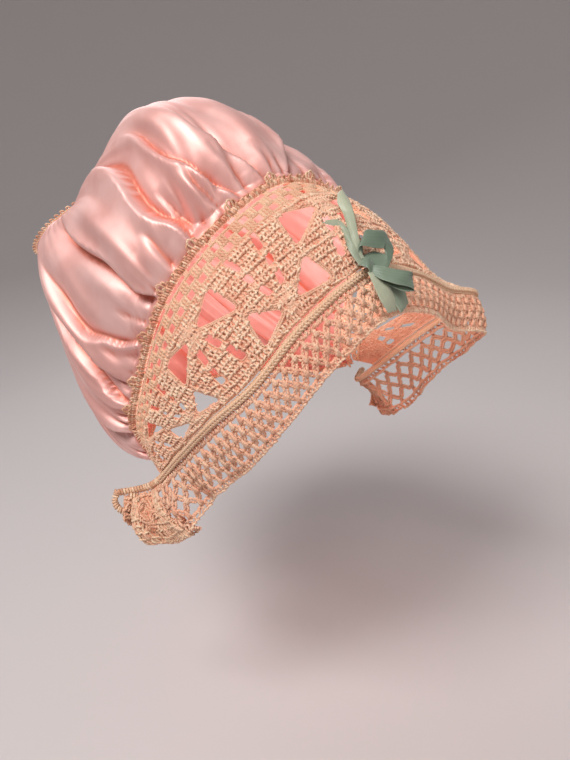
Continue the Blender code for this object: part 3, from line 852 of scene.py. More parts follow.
def bandPattern():
    # big holes between the fans and long slots inside them
    big, slots = [], []
    for k in range(-4, 5):
        for v, out, wide, high in band["slots"][k % 2]:
            for side in (-1, 1):
                slots.append(slotHole(k + side * out, v, wide, high, side * band["lean"][k % 2]))
        if k % 2:
            for side in (-1, 1):
                for window in band["windows"]:
                    big.append([(k + side * out, v) for out, v in window])
    return [roundOff(hole) for hole in big], [roundOff(hole) for hole in slots]


def insideAny(s, v, holes, grow=1.0):
    # which places lie in a hole, each hole grown about its middle
    hit = np.zeros(s.shape, dtype=bool)
    for hole in holes:
        hole = np.asarray(hole)
        hole = hole.mean(axis=0) + (hole - hole.mean(axis=0)) * grow
        low, high = hole.min(axis=0), hole.max(axis=0)
        near = (s > low[0]) & (s < high[0]) & (v > low[1]) & (v < high[1])
        if not near.any():
            continue
        a, b = s[near], v[near]
        odd = np.zeros(a.shape, dtype=bool)
        for p, q in zip(hole, np.roll(hole, -1, axis=0)):
            cross = (p[1] > b) != (q[1] > b)
            reach = p[0] + (q[0] - p[0]) * (b - p[1]) / (q[1] - p[1] + tiny)
            odd ^= cross & (a < reach)
        hit[near] |= odd
    return hit


bigHoles, slotHoles = bandPattern()
allHoles = bigHoles + slotHoles

# one stitch in its own cell: along the row, across it, and height in strand widths
stitchShapes = [
    [(-0.26, -0.56, 0.2), (0.02, -0.26, 1.5), (0.24, 0.04, 1.9), (0.06, 0.34, 1.7), (-0.24, 0.52, 0.8)],
    [(0.20, -0.56, 0.2), (0.26, -0.26, 1.2), (-0.08, 0.02, 1.0), (-0.26, 0.30, 1.2), (0.14, 0.54, 0.8)],
    [(-0.56, 0.40, 0.8), (-0.16, 0.34, 2.0), (0.24, 0.44, 2.3), (0.56, 0.62, 1.0)],
]
stitch = {
    "points": 6,
    "stray": 0.08,              # share of the cell
    "heights": (0.75, 1.15),
    "widths": (0.92, 1.10),
    "tone": (0.56, 0.12),       # mean and spread of a stitch's tint
    "strandTone": (-0.04, 0.06),
    "heightShade": (0.34, 1.15),    # painted light and shade: the higher a strand lies the paler it is, the lower the darker, from this height
}


def stitchField(surface, cells, strand, shapes):
    # cells is (cells, 5): place along, place across, width along, height across, row number
    cells = np.asarray(cells)
    count = len(cells)
    along, across, wide, high, row = (cells[:, k][:, None] for k in range(5))
    flip = np.where(row % 2 == 0, 1.0, -1.0)
    tone = dice.normal(*stitch["tone"], count)[:, None]
    offset, spread = stitch["strandTone"]
    paler, level = stitch["heightShade"]
    parts = []
    for shape in shapes:
        shape = np.asarray(shape)
        smooth = spline(shape, np.linspace(0, len(shape) - 1, stitch["points"]))
        a = smooth[:, 0][None] * flip * wide + along
        b = smooth[:, 1][None] * high + across
        a = a + dice.normal(0, stitch["stray"], count)[:, None] * wide
        b = b + dice.normal(0, stitch["stray"], count)[:, None] * high
        h = smooth[:, 2][None] * strand * dice.uniform(*stitch["heights"], count)[:, None]
        normal = normalOf(surface, a, b)
        lines = surface(a, b) + normal * h[..., None]
        thick = strand * dice.uniform(*stitch["widths"], count)[:, None]
        # painted light and shade: a strand is paler the higher it lies and darker where it dives
        tint = tone + offset + paler * (h / strand - level) + dice.normal(0, spread, count)[:, None]
        parts.append(tubes(lines, np.broadcast_to(thick, h.shape), ups=normal, tints=tint))
    return parts


def bandCells(lowSector, highSector):
    # rows of stitches over the fans, a little wavy
    cells = []
    for k in range(lowSector, highSector + 1):
        depth = float(np.linalg.norm(bandPoint(k, 1.0) - bandPoint(k, 0.0)))
        share = band["lastRow"] - band["firstRow"]
        rows = max(int(round(depth * share / band["row"])), 3)
        left, right = max(k - 0.5, -bandReach), min(k + 0.5, bandReach)
        for j in range(rows):
            v = band["firstRow"] + share * (j + 0.5) / rows
            width = float(np.linalg.norm(bandPoint(right, v) - bandPoint(left, v)))
            across = max(int(round(width / band["stitch"])), 3)
            for i in range(across):
                s = left + (right - left) * (i + 0.5 + 0.37 * (j % 3)) / across
                wave = 0.18 * share / rows * math.sin(9.0 * s + 2.1 * j)
                cells.append((s, v + wave, (right - left) / across, share / rows, j))
    return np.array(cells)


def clearCells(cells, holes):
    # keep the stitches whose corners stay out of the holes
    keep = np.ones(len(cells), dtype=bool)
    for a, b in ((0, 0), (-0.24, 0), (0.24, 0), (0, -0.28), (0, 0.28)):
        keep &= ~insideAny(cells[:, 0] + a * cells[:, 2], cells[:, 1] + b * cells[:, 3], holes)
    keep &= np.abs(cells[:, 0]) < bandReach
    return cells[keep]


def barCells(lowSector, highSector):
    # the short rows of stitches that part one slot from the next
    share, least = band["bar"]
    cells = []
    for k in range(lowSector, highSector + 1):
        rows = band["slots"][k % 2]
        for (v, out, wide, high), (nextV, nextOut, _, nextHigh) in zip(rows, rows[1:]):
            gap = nextV - nextHigh - v - high
            for side in (-1, 1):
                middle = k + side * (out + nextOut) / 2
                for i in range(3):
                    s = middle + (i - 1) * share * wide
                    cells.append((s, v + high + gap / 2, share * wide, max(gap, least), i))
    return np.array(cells)


def lifted(surface, a, b, lift):
    return surface(a, b) + normalOf(surface, a, b) * lift


def holeEdge(hole, surface, radius, lift, pitch, grow=0.0):
    # a twisted thread round a hole, pushed out from its edge by a length
    line = lifted(surface, hole[:, 0], hole[:, 1], lift)
    if grow:
        middle = line.mean(axis=0)
        line = middle + (line - middle) * (1 + grow / np.linalg.norm(line - middle, axis=1).mean())
    return twist(line, radius, pitch, pitch / 5, closed=True, tint=0.62)


star = {"threads": 9, "reach": (0.13, 0.12), "wide": (0.22, 0.16), "high": 0.0016, "drop": 0.0007,
        "strand": 0.00066, "ring": 0.0017, "cord": 0.0008, "clear": 0.035}


def starThreads(k):
    # long stitches that draw together in one point of a fan, tied by a small ring
    v = band["stars"][k % 2]
    opensToRib = k % 2 == 0
    t = np.linspace(0.06, 1.0, 8)
    lines = []
    for side in (-1, 1):
        for f in np.linspace(-1, 1, star["threads"]):
            ends = v + side * star["reach"][k % 2] * (1 - 0.25 * abs(f))
            wide = star["wide"][0 if (side > 0) == opensToRib else 1]
            lift = star["high"] - star["drop"] * t
            lines.append(lifted(bandPoint, k + f * wide * t ** 1.15, v + (ends - v) * t, lift[:, None]))
    place = np.array([float(k)]), np.array([v])
    normal = normalOf(bandPoint, *place)
    tints = dice.uniform(0.5, 0.85, len(lines))
    threads = tubes(np.array(lines), star["strand"], 5, normal[None], tints=tints)
    centre = bandPoint(*place)
    side = unit(np.cross(normal, bandPoint(place[0] + 0.01, place[1]) - centre))
    turn = turns(14)[:, None]
    ring = centre + (np.cos(turn) * side + np.sin(turn) * np.cross(normal, side)) * star["ring"]
    ring = ring + normal * star["high"]
    return [threads, twist(ring, star["cord"], 0.002, 0.0005, closed=True, tint=0.7)]


ground = {"cut": 1.12, "tints": (0.2, 0.6), "bandLift": 0.0007, "earLift": 0.0005}


def buildGround(name, surface, low, high, steps, holes, lift):
    # thin close ground between the stitches, cut out at the holes; its low tints and redder cotton paint the
    # shade in the gaps
    flat, edges = [], []

    def addLoop(loop):
        start = len(flat)
        flat.extend(Vector((float(p[0]), float(p[1]))) for p in loop)
        edges.extend((start + i, start + (i + 1) % len(loop)) for i in range(len(loop)))

    across, down = steps
    wide, deep = high[0] - low[0], high[1] - low[1]
    outline = [(low[0] + wide * i / across, low[1]) for i in range(across)]
    outline += [(high[0], low[1] + deep * j / down) for j in range(down)]
    outline += [(high[0] - wide * i / across, high[1]) for i in range(across)]
    outline += [(low[0], high[1] - deep * j / down) for j in range(down)]
    addLoop(outline)
    for hole in holes:
        addLoop(hole)
    grid = np.array([(low[0] + wide * i / across, low[1] + deep * j / down)
                     for i in range(1, across) for j in range(1, down)])
    free = ~insideAny(grid[:, 0], grid[:, 1], holes, ground["cut"])
    flat.extend(Vector(tuple(p)) for p in grid[free])
    found = delaunay_2d_cdt(flat, edges, [], 0, 1e-6)
    spots = np.array([tuple(p) for p in found[0]])
    faces = np.array([f for f in found[2] if len(f) == 3])
    middle = spots[faces].mean(axis=1)
    faces = faces[~insideAny(middle[:, 0], middle[:, 1], holes)]
    used = np.unique(faces)
    renumber = np.full(len(spots), -1)
    renumber[used] = np.arange(len(used))
    spots, faces = spots[used], renumber[faces]
    s, v = spots[:, 0], spots[:, 1]
    verts = lifted(surface, s, v, lift)
    thread = np.stack([s * 0.05, np.ones_like(s), np.zeros_like(s)], axis=1)
    return meshPiece(name, verts, faces, cottons["groundShadeCotton"],
                     {"tint": dice.uniform(*ground["tints"], len(verts))}, {"thread": thread})


eyelet = {
    "post": 0.00082,
    "posts": (-0.19, 0.0, 0.19),                # threads of a post, in shares of an eyelet
    "bars": (0.00105, 0.00115, 0.00120),        # cords along the rows
    "joins": (0.13, 0.42),                      # first bridge to the cord and the next one, in stations
    "join": 0.0006,
    "bridge": (-0.022, 0.0, 0.022),
}


def postLines(places, low, high, spread):
    # open-work posts: two strands wound round each other between two rows
    t = np.linspace(0, 1, 6)
    turn = 2.2 * math.pi * t + 0.4
    lines = []
    for hand in (-1, 1):
        a = places[:, None] + hand * spread * np.sin(turn)[None]
        b = np.broadcast_to(low + (high - low) * t, a.shape)
        lift = 0.0004 + hand * 0.0005 * np.cos(turn)
        lines.append(lifted(bandPoint, a, b, lift[None, :, None]))
    return np.concatenate(lines)


def eyeletThreads():
    # two staggered rows of square eyelets, and a slit along the cord
    parts = []
    pitch = 2 * bandReach / band["eyelets"]
    rows = band["eyeletRows"]
    for row in (0, 1):
        middles = -bandReach + pitch * (np.arange(band["eyelets"] + 1) + 0.5 * row)
        middles = middles[middles < bandReach]
        for shift in eyelet["posts"]:
            lines = postLines(middles + shift * pitch, rows[row], rows[row + 1], 0.0085)
            tints = np.tile(dice.uniform(0.35, 0.75, len(middles)), 2)
            parts.append(tubes(lines, eyelet["post"], tints=tints))
    s = np.linspace(-bandReach, bandReach, 480)
    for v, thick in zip(rows, eyelet["bars"]):
        line = lifted(bandPoint, s, np.full_like(s, v), 0.0003)
        parts.append(twist(line, thick, 0.0027, 0.0007, tint=0.6))
    first, apart = eyelet["joins"]
    joins = -bandReach + first + apart * np.arange(23)
    joins = joins[joins < bandReach]
    t = np.linspace(0, 1, 6)
    for shift in eyelet["bridge"]:
        a = joins[:, None] + shift + 0.006 * np.sin(3 * t)[None]
        b = np.broadcast_to(-0.02 + 0.07 * t, a.shape)
        parts.append(tubes(bandPoint(a, b), eyelet["join"], tints=np.full(len(joins), 0.6)))
    return parts


def buildStitches(name, low, high, *nodes):
    # the fans of a few stations
    cells = clearCells(bandCells(low, high), allHoles)
    stars = np.array([(k, band["stars"][k % 2]) for k in range(-5, 6)])
    aside = cells[:, 0][:, None] - stars[:, 0]
    beyond = (cells[:, 1][:, None] - stars[:, 1]) * 1.4
    clear = np.hypot(aside, beyond).min(axis=1) > star["clear"]
    cells = np.concatenate([cells[clear], barCells(low, high)])
    parts = stitchField(bandPoint, cells, band["strand"], stitchShapes)
    left = -math.inf if low == -4 else low - 0.5
    right = math.inf if high == 4 else high + 0.5
    for hole in bigHoles:
        if left <= hole[:, 0].mean() < right:
            parts.extend(holeEdge(hole, bandPoint, *edge) for edge in band["windowEdges"])
    for hole in slotHoles:
        if left <= hole[:, 0].mean() < right:
            parts.append(holeEdge(hole, bandPoint, *band["slotEdge"]))
    for k in range(low, high + 1):
        parts.extend(starThreads(k))
    s = np.linspace(max(left, -bandReach), min(right, bandReach), 160)
    line = lifted(bandPoint, s, np.full_like(s, band["rimRow"]), 0.0003)
    parts.append(twist(line, 0.0009, 0.0023, 0.00048, tint=0.7))
    threadPiece(name, parts, "bandCotton", "peach_crochet", *nodes)


buildStitches("bandStitchesRight", -4, -2)
buildStitches("bandStitchesFront", -1, 1, "crochet_band")
buildStitches("bandStitchesLeft", 2, 4)
threadPiece("bandEyelets", eyeletThreads(), "tanCotton", "peach_crochet")
bandGround = buildGround("bandGround", bandPoint, (-bandReach, band["eyeletRows"][2]),
                         (bandReach, band["groundEnd"]), (170, 24), allHoles, ground["bandLift"])


# mesh brim
net = {
    "rows": 4,
    "cells": 62,
    "thread": 0.00115,
    "apart": 0.00095,      # the two cords of a row, from their middle
    "pitch": 0.0036,
    "step": 0.00098,
    "swing": 0.30,         # how far a row zigzags, in rows
    "top": 0.075,          # close strips end and begin here, from the rib to the hem
    "bottom": 0.89,
    "strips": (0.00060, 0.00068),
    "stitch": 0.0028,
    "knot": 0.00105,
    "close": 4.95,         # station where the close crochet of the ends begins
    "end": meshReach - 0.02,
    # folds at the right and the left end: side, start, rise, folds in a station, slant, depth
    "crimps": ((-1, 4.2, 1.1, 2.2, 2.0, 0.0056), (1, 3.2, 1.5, 1.9, 3.0, 0.0028)),
    "curl": 0.0050,
}


def netPoint(s, w):
    # the net gathers into a bunch at the right end and flares at the left one
    s = np.asarray(s, dtype=float)
    point = meshPoint(s, w)
    crimps, curl = net["crimps"], net["curl"]
    near, far = (np.clip((side * s - start) / rise, 0.0, 1.0) for side, start, rise, *_ in crimps)
    folds = [np.sin(2 * math.pi * count * s + slant * w) * depth for *_, count, slant, depth in crimps]
    crimp = (folds[0] * near + folds[1] * far) * (0.15 + 0.85 * w)
    crimp = crimp + (near + 0.5 * far) * (curl * np.sin(math.pi * w) - curl * w ** 3)
    along = unit(meshPoint(s + 0.02, w) - meshPoint(s - 0.02, w))
    down = unit(meshPoint(s, w + 0.02) - meshPoint(s, w - 0.02))
    normal = unit(np.cross(along, down))
    normal = np.where(dot(normal, point - capCentre) < 0, -normal, normal)
    return point + normal * crimp[..., None]


def netLength(left, right, w, samples):
    return runOf(netPoint(np.linspace(left, right, samples), np.full(samples, w)))[-1]


def netCells(left, right, w, high, count, row):
    # one row of close stitches between two stations
    wide = (right - left) / count
    return [(left + (right - left) * (i + 0.5) / count, w, wide, high, row) for i in range(count)]


def buildNet():
    reach, top, bottom, rows = net["end"], net["top"], net["bottom"], net["rows"]
    stitches = []
    for low, deep, strand, shapes in ((0.0, top, net["strips"][0], stitchShapes[:2]),
                                      (bottom, 1.0 - bottom, net["strips"][1], stitchShapes)):
        count = int(netLength(-reach, reach, low, 900) / net["stitch"])
        cells = netCells(-reach, reach, low + deep * 0.5, deep, count, 0)
        stitches += stitchField(netPoint, cells, strand, shapes)
    cords = []
    s = np.linspace(-reach, reach, net["cells"] * 12)
    turn = math.pi * net["cells"] * (s + reach) / reach
    for j in range(rows + 1):
        swing = 0.0 if j in (0, rows) else net["swing"]
        zig = np.clip(1.5 * np.sin(turn), -1.0, 1.0)
        w = top + (bottom - top) * (j + swing * zig * (1 if j % 2 else -1)) / rows
        w = w + 0.006 * np.sin(23.0 * s + 2.0 * j) + 0.004 * np.sin(61.0 * s + j)
        normal = normalOf(netPoint, s, w)
        line = netPoint(s, w) + normal * (0.0005 * np.sin(turn + j))[:, None]
        side = np.cross(unit(np.gradient(line, axis=0)), normal)
        # inside the net, two cords of opposite twist lie side by side like a chain of stitches
        hands = (-1, 1) if swing else (0,)
        thick = net["thread"] * (1.0 if swing else 1.2)
        for hand in hands:
            cord = line + side * hand * net["apart"]
            cords.append(twist(cord, thick, net["pitch"], net["step"], tint=0.6, hand=hand or 1))
    t = np.linspace(-1, 1, 6)
    for j in range(rows):
        # a clump of two short stitches ties each pair of rows together
        first = 1.5 if j % 2 == 0 else 0.5
        at = -reach + reach * np.arange(first, net["cells"] * 2, 2) / net["cells"]
        half = 0.60 * (bottom - top) / rows
        for side in (-1, 1):
            a = at[:, None] + side * 0.008 + side * 0.006 * np.sin(t * 2.6)[None]
            b = top + (bottom - top) * (j + 0.5) / rows + half * t[None] * 0.62
            b = np.broadcast_to(b, a.shape)
            normal = normalOf(netPoint, a, b)
            lines = netPoint(a, b) + normal * (0.0007 + 0.0006 * np.cos(t * 1.5))[None, :, None]
            stitches.append(tubes(lines, net["knot"], ups=normal, tints=dice.uniform(0.4, 0.8, len(at))))
    brim = threadPiece("meshBrim", cords, "bandCotton", "peach_crochet", "mesh_brim")
    threadPiece("brimStitches", stitches, "bandCotton", "peach_crochet")
    return brim


ear = {"rows": 8, "top": 0.05, "deep": 0.92, "stitch": 0.0023, "ground": (0.04, 0.97)}


def buildRuffle(name, low, high):
    # close crochet at one end of the net, with its ground
    cells = []
    deep = ear["deep"] / ear["rows"]
    for j in range(ear["rows"]):
        w = ear["top"] + ear["deep"] * (j + 0.5) / ear["rows"]
        count = int(netLength(low, high, w, 80) / ear["stitch"])
        cells += netCells(low, high, w, deep, count, j)
    field = stitchField(netPoint, cells, band["strand"], stitchShapes)
    threadPiece(name, field, "tanCotton", "peach_crochet")
    first, last = ear["ground"]
    return buildGround(name + "Ground", netPoint, (low, first), (high, last), (40, 12), [],
                       ground["earLift"])


meshBrim = buildNet()
ruffleGrounds = [buildRuffle("earRuffleRight", -net["end"], -net["close"]),
                 buildRuffle("earRuffleLeft", net["close"], net["end"])]


# wrapped cords
def cordFrame(curve, places):
    # middle, direction, outer side and flank of a cord
    centre = curve(places)
    ahead = alongCurve(curve, places, 0.005)
    up = outward(centre, ahead)
    return centre, ahead, up, np.cross(ahead, up)


def evenPlaces(curve, low, high, pitch, samples):
    # places on a curve that lie a pitch apart
    s = np.linspace(low, high, samples)
    run = runOf(curve(s))
    return np.interp(np.linspace(0.0, run[-1], int(run[-1] / pitch)), run, s)


def wraps(curve, low, high, pitch, radius, strand, lean, arc):
    # stitches laid side by side over a core
    places = evenPlaces(curve, low, high, pitch, 1200)
    centre, ahead, up, side = cordFrame(curve, places)
    t = np.linspace(-arc, arc, 7)
    wobble = dice.normal(0, 0.10, len(places))[:, None, None]
    lines = (centre[:, None] + (up[:, None] * np.cos(t)[None, :, None]
                                + side[:, None] * np.sin(t)[None, :, None]) * (radius - strand * 0.6)
             + ahead[:, None] * ((t / arc)[None, :, None] * lean + wobble * pitch * 0.8))
    ups = lines - centre[:, None]
    core = tubes(curve(np.linspace(low, high, 260))[None], radius - strand * 1.3, 8, tints=[0.5])
    return [core, tubes(lines, strand, ups=ups)]


def chainOn(curve, low, high, pitch, reach, strand, angle):
    # a chain of slanted links that runs along the outside of a cord
    centre, ahead, up, side = cordFrame(curve, evenPlaces(curve, low, high, pitch, 900))
    seat = up * math.cos(angle) + side * math.sin(angle)
    cross = np.cross(ahead, seat)
    parts = []
    t = np.linspace(-1, 1, 6)
    for hand in (-1, 1):
        lines = (centre[:, None] + seat[:, None] * (reach + 0.0003 * np.cos(t * 1.6)[None, :, None])
                 + ahead[:, None] * (t * pitch * 0.85)[None, :, None]
                 + cross[:, None] * (hand * 0.00055 * np.cos(t * 1.7) + hand * 0.0002)[None, :, None])
        parts.append(tubes(lines, strand, ups=seat[:, None]))
    return parts


def picotLoops(base, out, across, size, strand):
    # small curled loops that stand on a cord
    t = np.linspace(-0.35, 2 * math.pi + 0.35, 13)
    r = size * (1 + 0.12 * np.cos(2 * t))
    lines = (base[:, None] + out[:, None] * (size * 0.95 - r * np.cos(t))[None, :, None]
             + across[:, None] * (r * np.sin(t) * 0.8)[None, :, None]
             + np.cross(out, across)[:, None] * (strand * 1.6 * np.sin(t * 0.5))[None, :, None])
    return tubes(lines, strand, ups=np.cross(out, across)[:, None])


cordLook = {
    "wraps": (0.00150, cordRadius, 0.00074, 0.0008, 2.5),       # pitch, cord, strand, lean, half turn
    "chain": (0.0028, cordRadius - 0.0001, 0.00050, -1.25),     # pitch, reach, strand, angle
    "knots": 17,
    "knotReach": 4.5,
    "knotStray": 0.05,
    "knotStrand": 0.00062,
    "knotSlant": 0.0011,
}


def buildCord():
    parts = wraps(cordPoint, -earReach, earReach, *cordLook["wraps"])
    parts += chainOn(cordPoint, -earReach, earReach, *cordLook["chain"])
    # crossing knots every few centimetres
    count, reach = cordLook["knots"], cordLook["knotReach"]
    places = np.linspace(-reach, reach, count) + dice.normal(0, cordLook["knotStray"], count)
    centre, ahead, up, side = cordFrame(cordPoint, places)
    t = np.linspace(-1.9, 1.9, 11)
    for hand in (-1, 1):
        lines = (centre[:, None] + (up[:, None] * np.cos(t)[None, :, None]
                                    + side[:, None] * np.sin(t)[None, :, None]) * (cordRadius + 0.0002)
                 + ahead[:, None] * (hand * t * cordLook["knotSlant"])[None, :, None])
        parts.append(tubes(lines, cordLook["knotStrand"], ups=lines - centre[:, None]))
    threadPiece("edgeCord", parts, "bandCotton", "tan_cord", "edge_cord")


picot = {
    "apart": 0.085,                     # stations between two small loops
    "small": (0.00085, 0.00044),        # size, strand
    # larger loops stand in threes at these stations: shift, size
    "stations": (-3.55, -2.98, -2.42, -1.86, -1.30, -0.72, -0.16, 0.42, 0.98, 1.55, 2.12, 2.70, 3.30),
    "threes": ((-0.0024, 0.0017), (0.0, 0.0024), (0.0024, 0.0017)),
    "strand": 0.00066,
    "seat": cordRadius - 0.0002,
}


def buildPicots():
    # the small loops on the satin side of the cord
    firsts = [row[0] for row in bagFront]

    def seat(s):
        centre = cordPoint(s)
        ahead = alongCurve(cordPoint, s, 0.01)
        pull = spline(firsts, s * earStation / earReach + earStation) - centre
        pull = unit(pull - ahead * dot(pull, ahead))
        line = unit(ribPoint(s) - centre)
        lean = unit(pull * 1.15 + line * 0.85)
        lean = unit(lean - ahead * dot(lean, ahead))
        return centre, ahead, pull, lean

    s = np.arange(-4.0, 4.0, picot["apart"])
    s = s + dice.normal(0, 0.02, len(s))
    centre, ahead, pull, lean = seat(s)
    parts = [picotLoops(centre + lean * picot["seat"], lean, ahead, *picot["small"])]
    centre, ahead, pull, lean = seat(np.array(picot["stations"]))
    out = unit(pull * 1.2 + lean * 0.5)
    for shift, size in picot["threes"]:
        base = centre + out * picot["seat"] + ahead * shift
        parts.append(picotLoops(base, out, ahead, size, picot["strand"]))
    threadPiece("picotEdging", parts, "tanCotton", "peach_crochet", "picot_edging")


ribLook = {
    "wraps": (0.0016, ribRadius + 0.0001, 0.00082, 0.0010, 2.6),
    "ends": ((-6.0, -4.75), (5.1, 6.0)),        # stations that are wrapped
    "braid": (-4.8, 5.15),
    # ropes of the braid: angle round the rib, radius and hand
    "ropes": ((-0.52, 0.00145, 1), (0.52, 0.00145, -1), (-1.65, 0.00115, -1), (1.65, 0.00115, 1)),
    "reach": ribRadius + 0.0005,
    "pitch": 0.0044,
    "step": 0.0009,
    "core": ribRadius - 0.0006,
    "ringWraps": (0.0016, ribRadius, 0.00084, 0.0010, 2.6),
    "ring": [(-0.1180, 0.0370, -0.1690), (-0.1210, 0.0375, -0.1735), (-0.1208, 0.0350, -0.1790),
             (-0.1162, 0.0300, -0.1820), (-0.1103, 0.0262, -0.1800), (-0.1086, 0.0268, -0.1751),
             (-0.1119, 0.0303, -0.1730)],
}


def ringPoint(t):
    # the rib turns back on itself in a small ring at the right end
    return spline(ribLook["ring"], t)


def buildRib():
    parts = []
    for low, high in ribLook["ends"]:
        parts += wraps(ribPoint, low, high, *ribLook["wraps"])
    centre, _, up, side = cordFrame(ribPoint, np.linspace(*ribLook["braid"], 900))
    parts.append(tubes(centre[::4][None], ribLook["core"], 6, tints=[0.5]))
    # ropes of both hands, side by side, look like a braid
    for angle, thick, hand in ribLook["ropes"]:
        line = centre + (up * math.cos(angle) + side * math.sin(angle)) * (ribLook["reach"] - thick)
        parts.append(twist(line, thick, ribLook["pitch"], ribLook["step"], tint=0.66, hand=hand))
    parts += wraps(ringPoint, 0.0, len(ribLook["ring"]) - 1.0, *ribLook["ringWraps"])
    threadPiece("brimRib", parts, "creamCotton", "tan_cord", "brim_rib")


napeLook = {
    "ends": (0.2, 5.8),
    "wraps": (0.0018, napeRadius, 0.00070, 0.0006, 2.8),
    "chain": (0.0023, napeRadius, 0.00038, 0.0),
}


def buildNape():
    parts = wraps(napePoint, *napeLook["ends"], *napeLook["wraps"])
    parts += chainOn(napePoint, *napeLook["ends"], *napeLook["chain"])
    threadPiece("napeEdging", parts, "bandCotton", "peach_crochet", "nape_edging")


buildCord()
buildPicots()
buildRib()
buildNape()


# crown medallion
medallion = {
    "rings": (0.20, 0.42, 0.80, 0.955),     # shares of the radius
    "petals": 8,
    "strand": 0.00066,
    "row": 0.0036,
    "stitch": 0.0032,
    "ring": (0.0009, 0.0024, 0.0006),       # radius, pitch and step of the twisted rings
    "spokes": 48,
    "ribs": (-0.10, -0.035, 0.035, 0.10),   # threads along a petal, and shares of the radius across it
    "bars": (0.52, 0.61, 0.70),
    "picots": 60,
    "picot": (0.0019, 0.0005),
}


def medallionPoint(turn, share):
    turn, share = np.broadcast_arrays(np.asarray(turn, dtype=float), np.asarray(share, dtype=float))
    lift = (medallionDome * (1 - share ** 2))[..., None]
    return medallionRing((medallionRadius * share)[..., None], turn[..., None]) + medallionNormal * lift


def medallionCells(low, high, skip):
    # rounds of stitches, left out between the petals where skip is set
    cells = []
    rows = max(int(round((high - low) * medallionRadius / medallion["row"])), 1)
    for j in range(rows):
        share = low + (high - low) * (j + 0.5) / rows
        count = max(int(round(2 * math.pi * share * medallionRadius / medallion["stitch"])), 8)
        for i in range(count):
            turn = 2 * math.pi * (i + 0.25 * (j % 2)) / count
            petal = abs(((turn * medallion["petals"] / (2 * math.pi)) % 1.0) - 0.5)
            if skip and petal > 0.20 + 0.12 * (share - low) / (high - low):
                continue
            cells.append((turn, share, 2 * math.pi / count, (high - low) / rows, j))
    return np.array(cells)


def buildMedallion():
    parts = []
    inner, spokes, petals, rim = medallion["rings"]
    for low, high, skip in ((0.02, inner, False), (spokes, petals, True), (petals, rim, False)):
        cells = medallionCells(low, high, skip)
        parts += stitchField(medallionPoint, cells, medallion["strand"], stitchShapes)
    raised = medallionNormal * 0.0003
    for share in (inner, spokes, petals, rim):
        line = medallionPoint(turns(240), share) + raised
        parts.append(twist(line, *medallion["ring"], closed=True))
    t = np.linspace(0, 1, 8)
    a = turns(medallion["spokes"])[:, None] + 0.03 * np.sin(2 * math.pi * t)[None]
    lines = medallionPoint(a, (inner + (spokes - inner) * t)[None])
    parts.append(tubes(lines, 0.0006, ups=medallionNormal))
    middles = (np.arange(medallion["petals"])) * 2 * math.pi / medallion["petals"]
    for wide in medallion["ribs"]:
        a = (middles + wide)[:, None] + 0.02 * np.sin(3 * math.pi * t)[None]
        lines = medallionPoint(a, (spokes + (petals - spokes) * t)[None])
        parts.append(tubes(lines, 0.0005, ups=medallionNormal))
    for share in medallion["bars"]:
        a = middles[:, None] + np.linspace(-0.17, 0.17, 8)[None]
        parts.append(tubes(medallionPoint(a, share) + raised, 0.0006, ups=medallionNormal))
    # picots round the rim
    base = medallionPoint(turns(medallion["picots"]), 0.975)
    out = unit(base - medallionCentre - medallionNormal * dot(base - medallionCentre, medallionNormal))
    out = unit(out + medallionNormal * 0.25)
    across = np.cross(np.broadcast_to(medallionNormal, out.shape), out)
    parts.append(picotLoops(base, out, unit(across), *medallion["picot"]))
    threadPiece("crownMedallion", parts, "creamCotton", "peach_crochet", "crown_medallion")


buildMedallion()


# bow
bow = {
    "thick": 0.00026,
    "width": 0.0064,
    "rise": 0.0034,            # middle of the knot above the rib
    "drop": 0.002,             # how far it sits toward the net
    "steps": 9,                # rows of mesh between two rows of points
    "wide": 15,                # points across a ribbon
    "arch": 0.0008,
    "fray": (0.0016, 0.6),     # longest loose thread, and the share of threads that are loose
    "edge": (0.43, 0.22),      # the selvedge starts here, and is paler by this
    "tailPaling": 0.22,
    "loopPaling": 0.10,
}
knotSide = np.array((1.0, 0.0, 0.0))
knotUp = np.array((0.0, 0.727, 0.687))
knotOut = np.array((0.0, -0.687, 0.727))
knotCentre = ribPoint(0.0) - knotUp * bow["drop"] + knotOut * (ribRadius + bow["rise"])
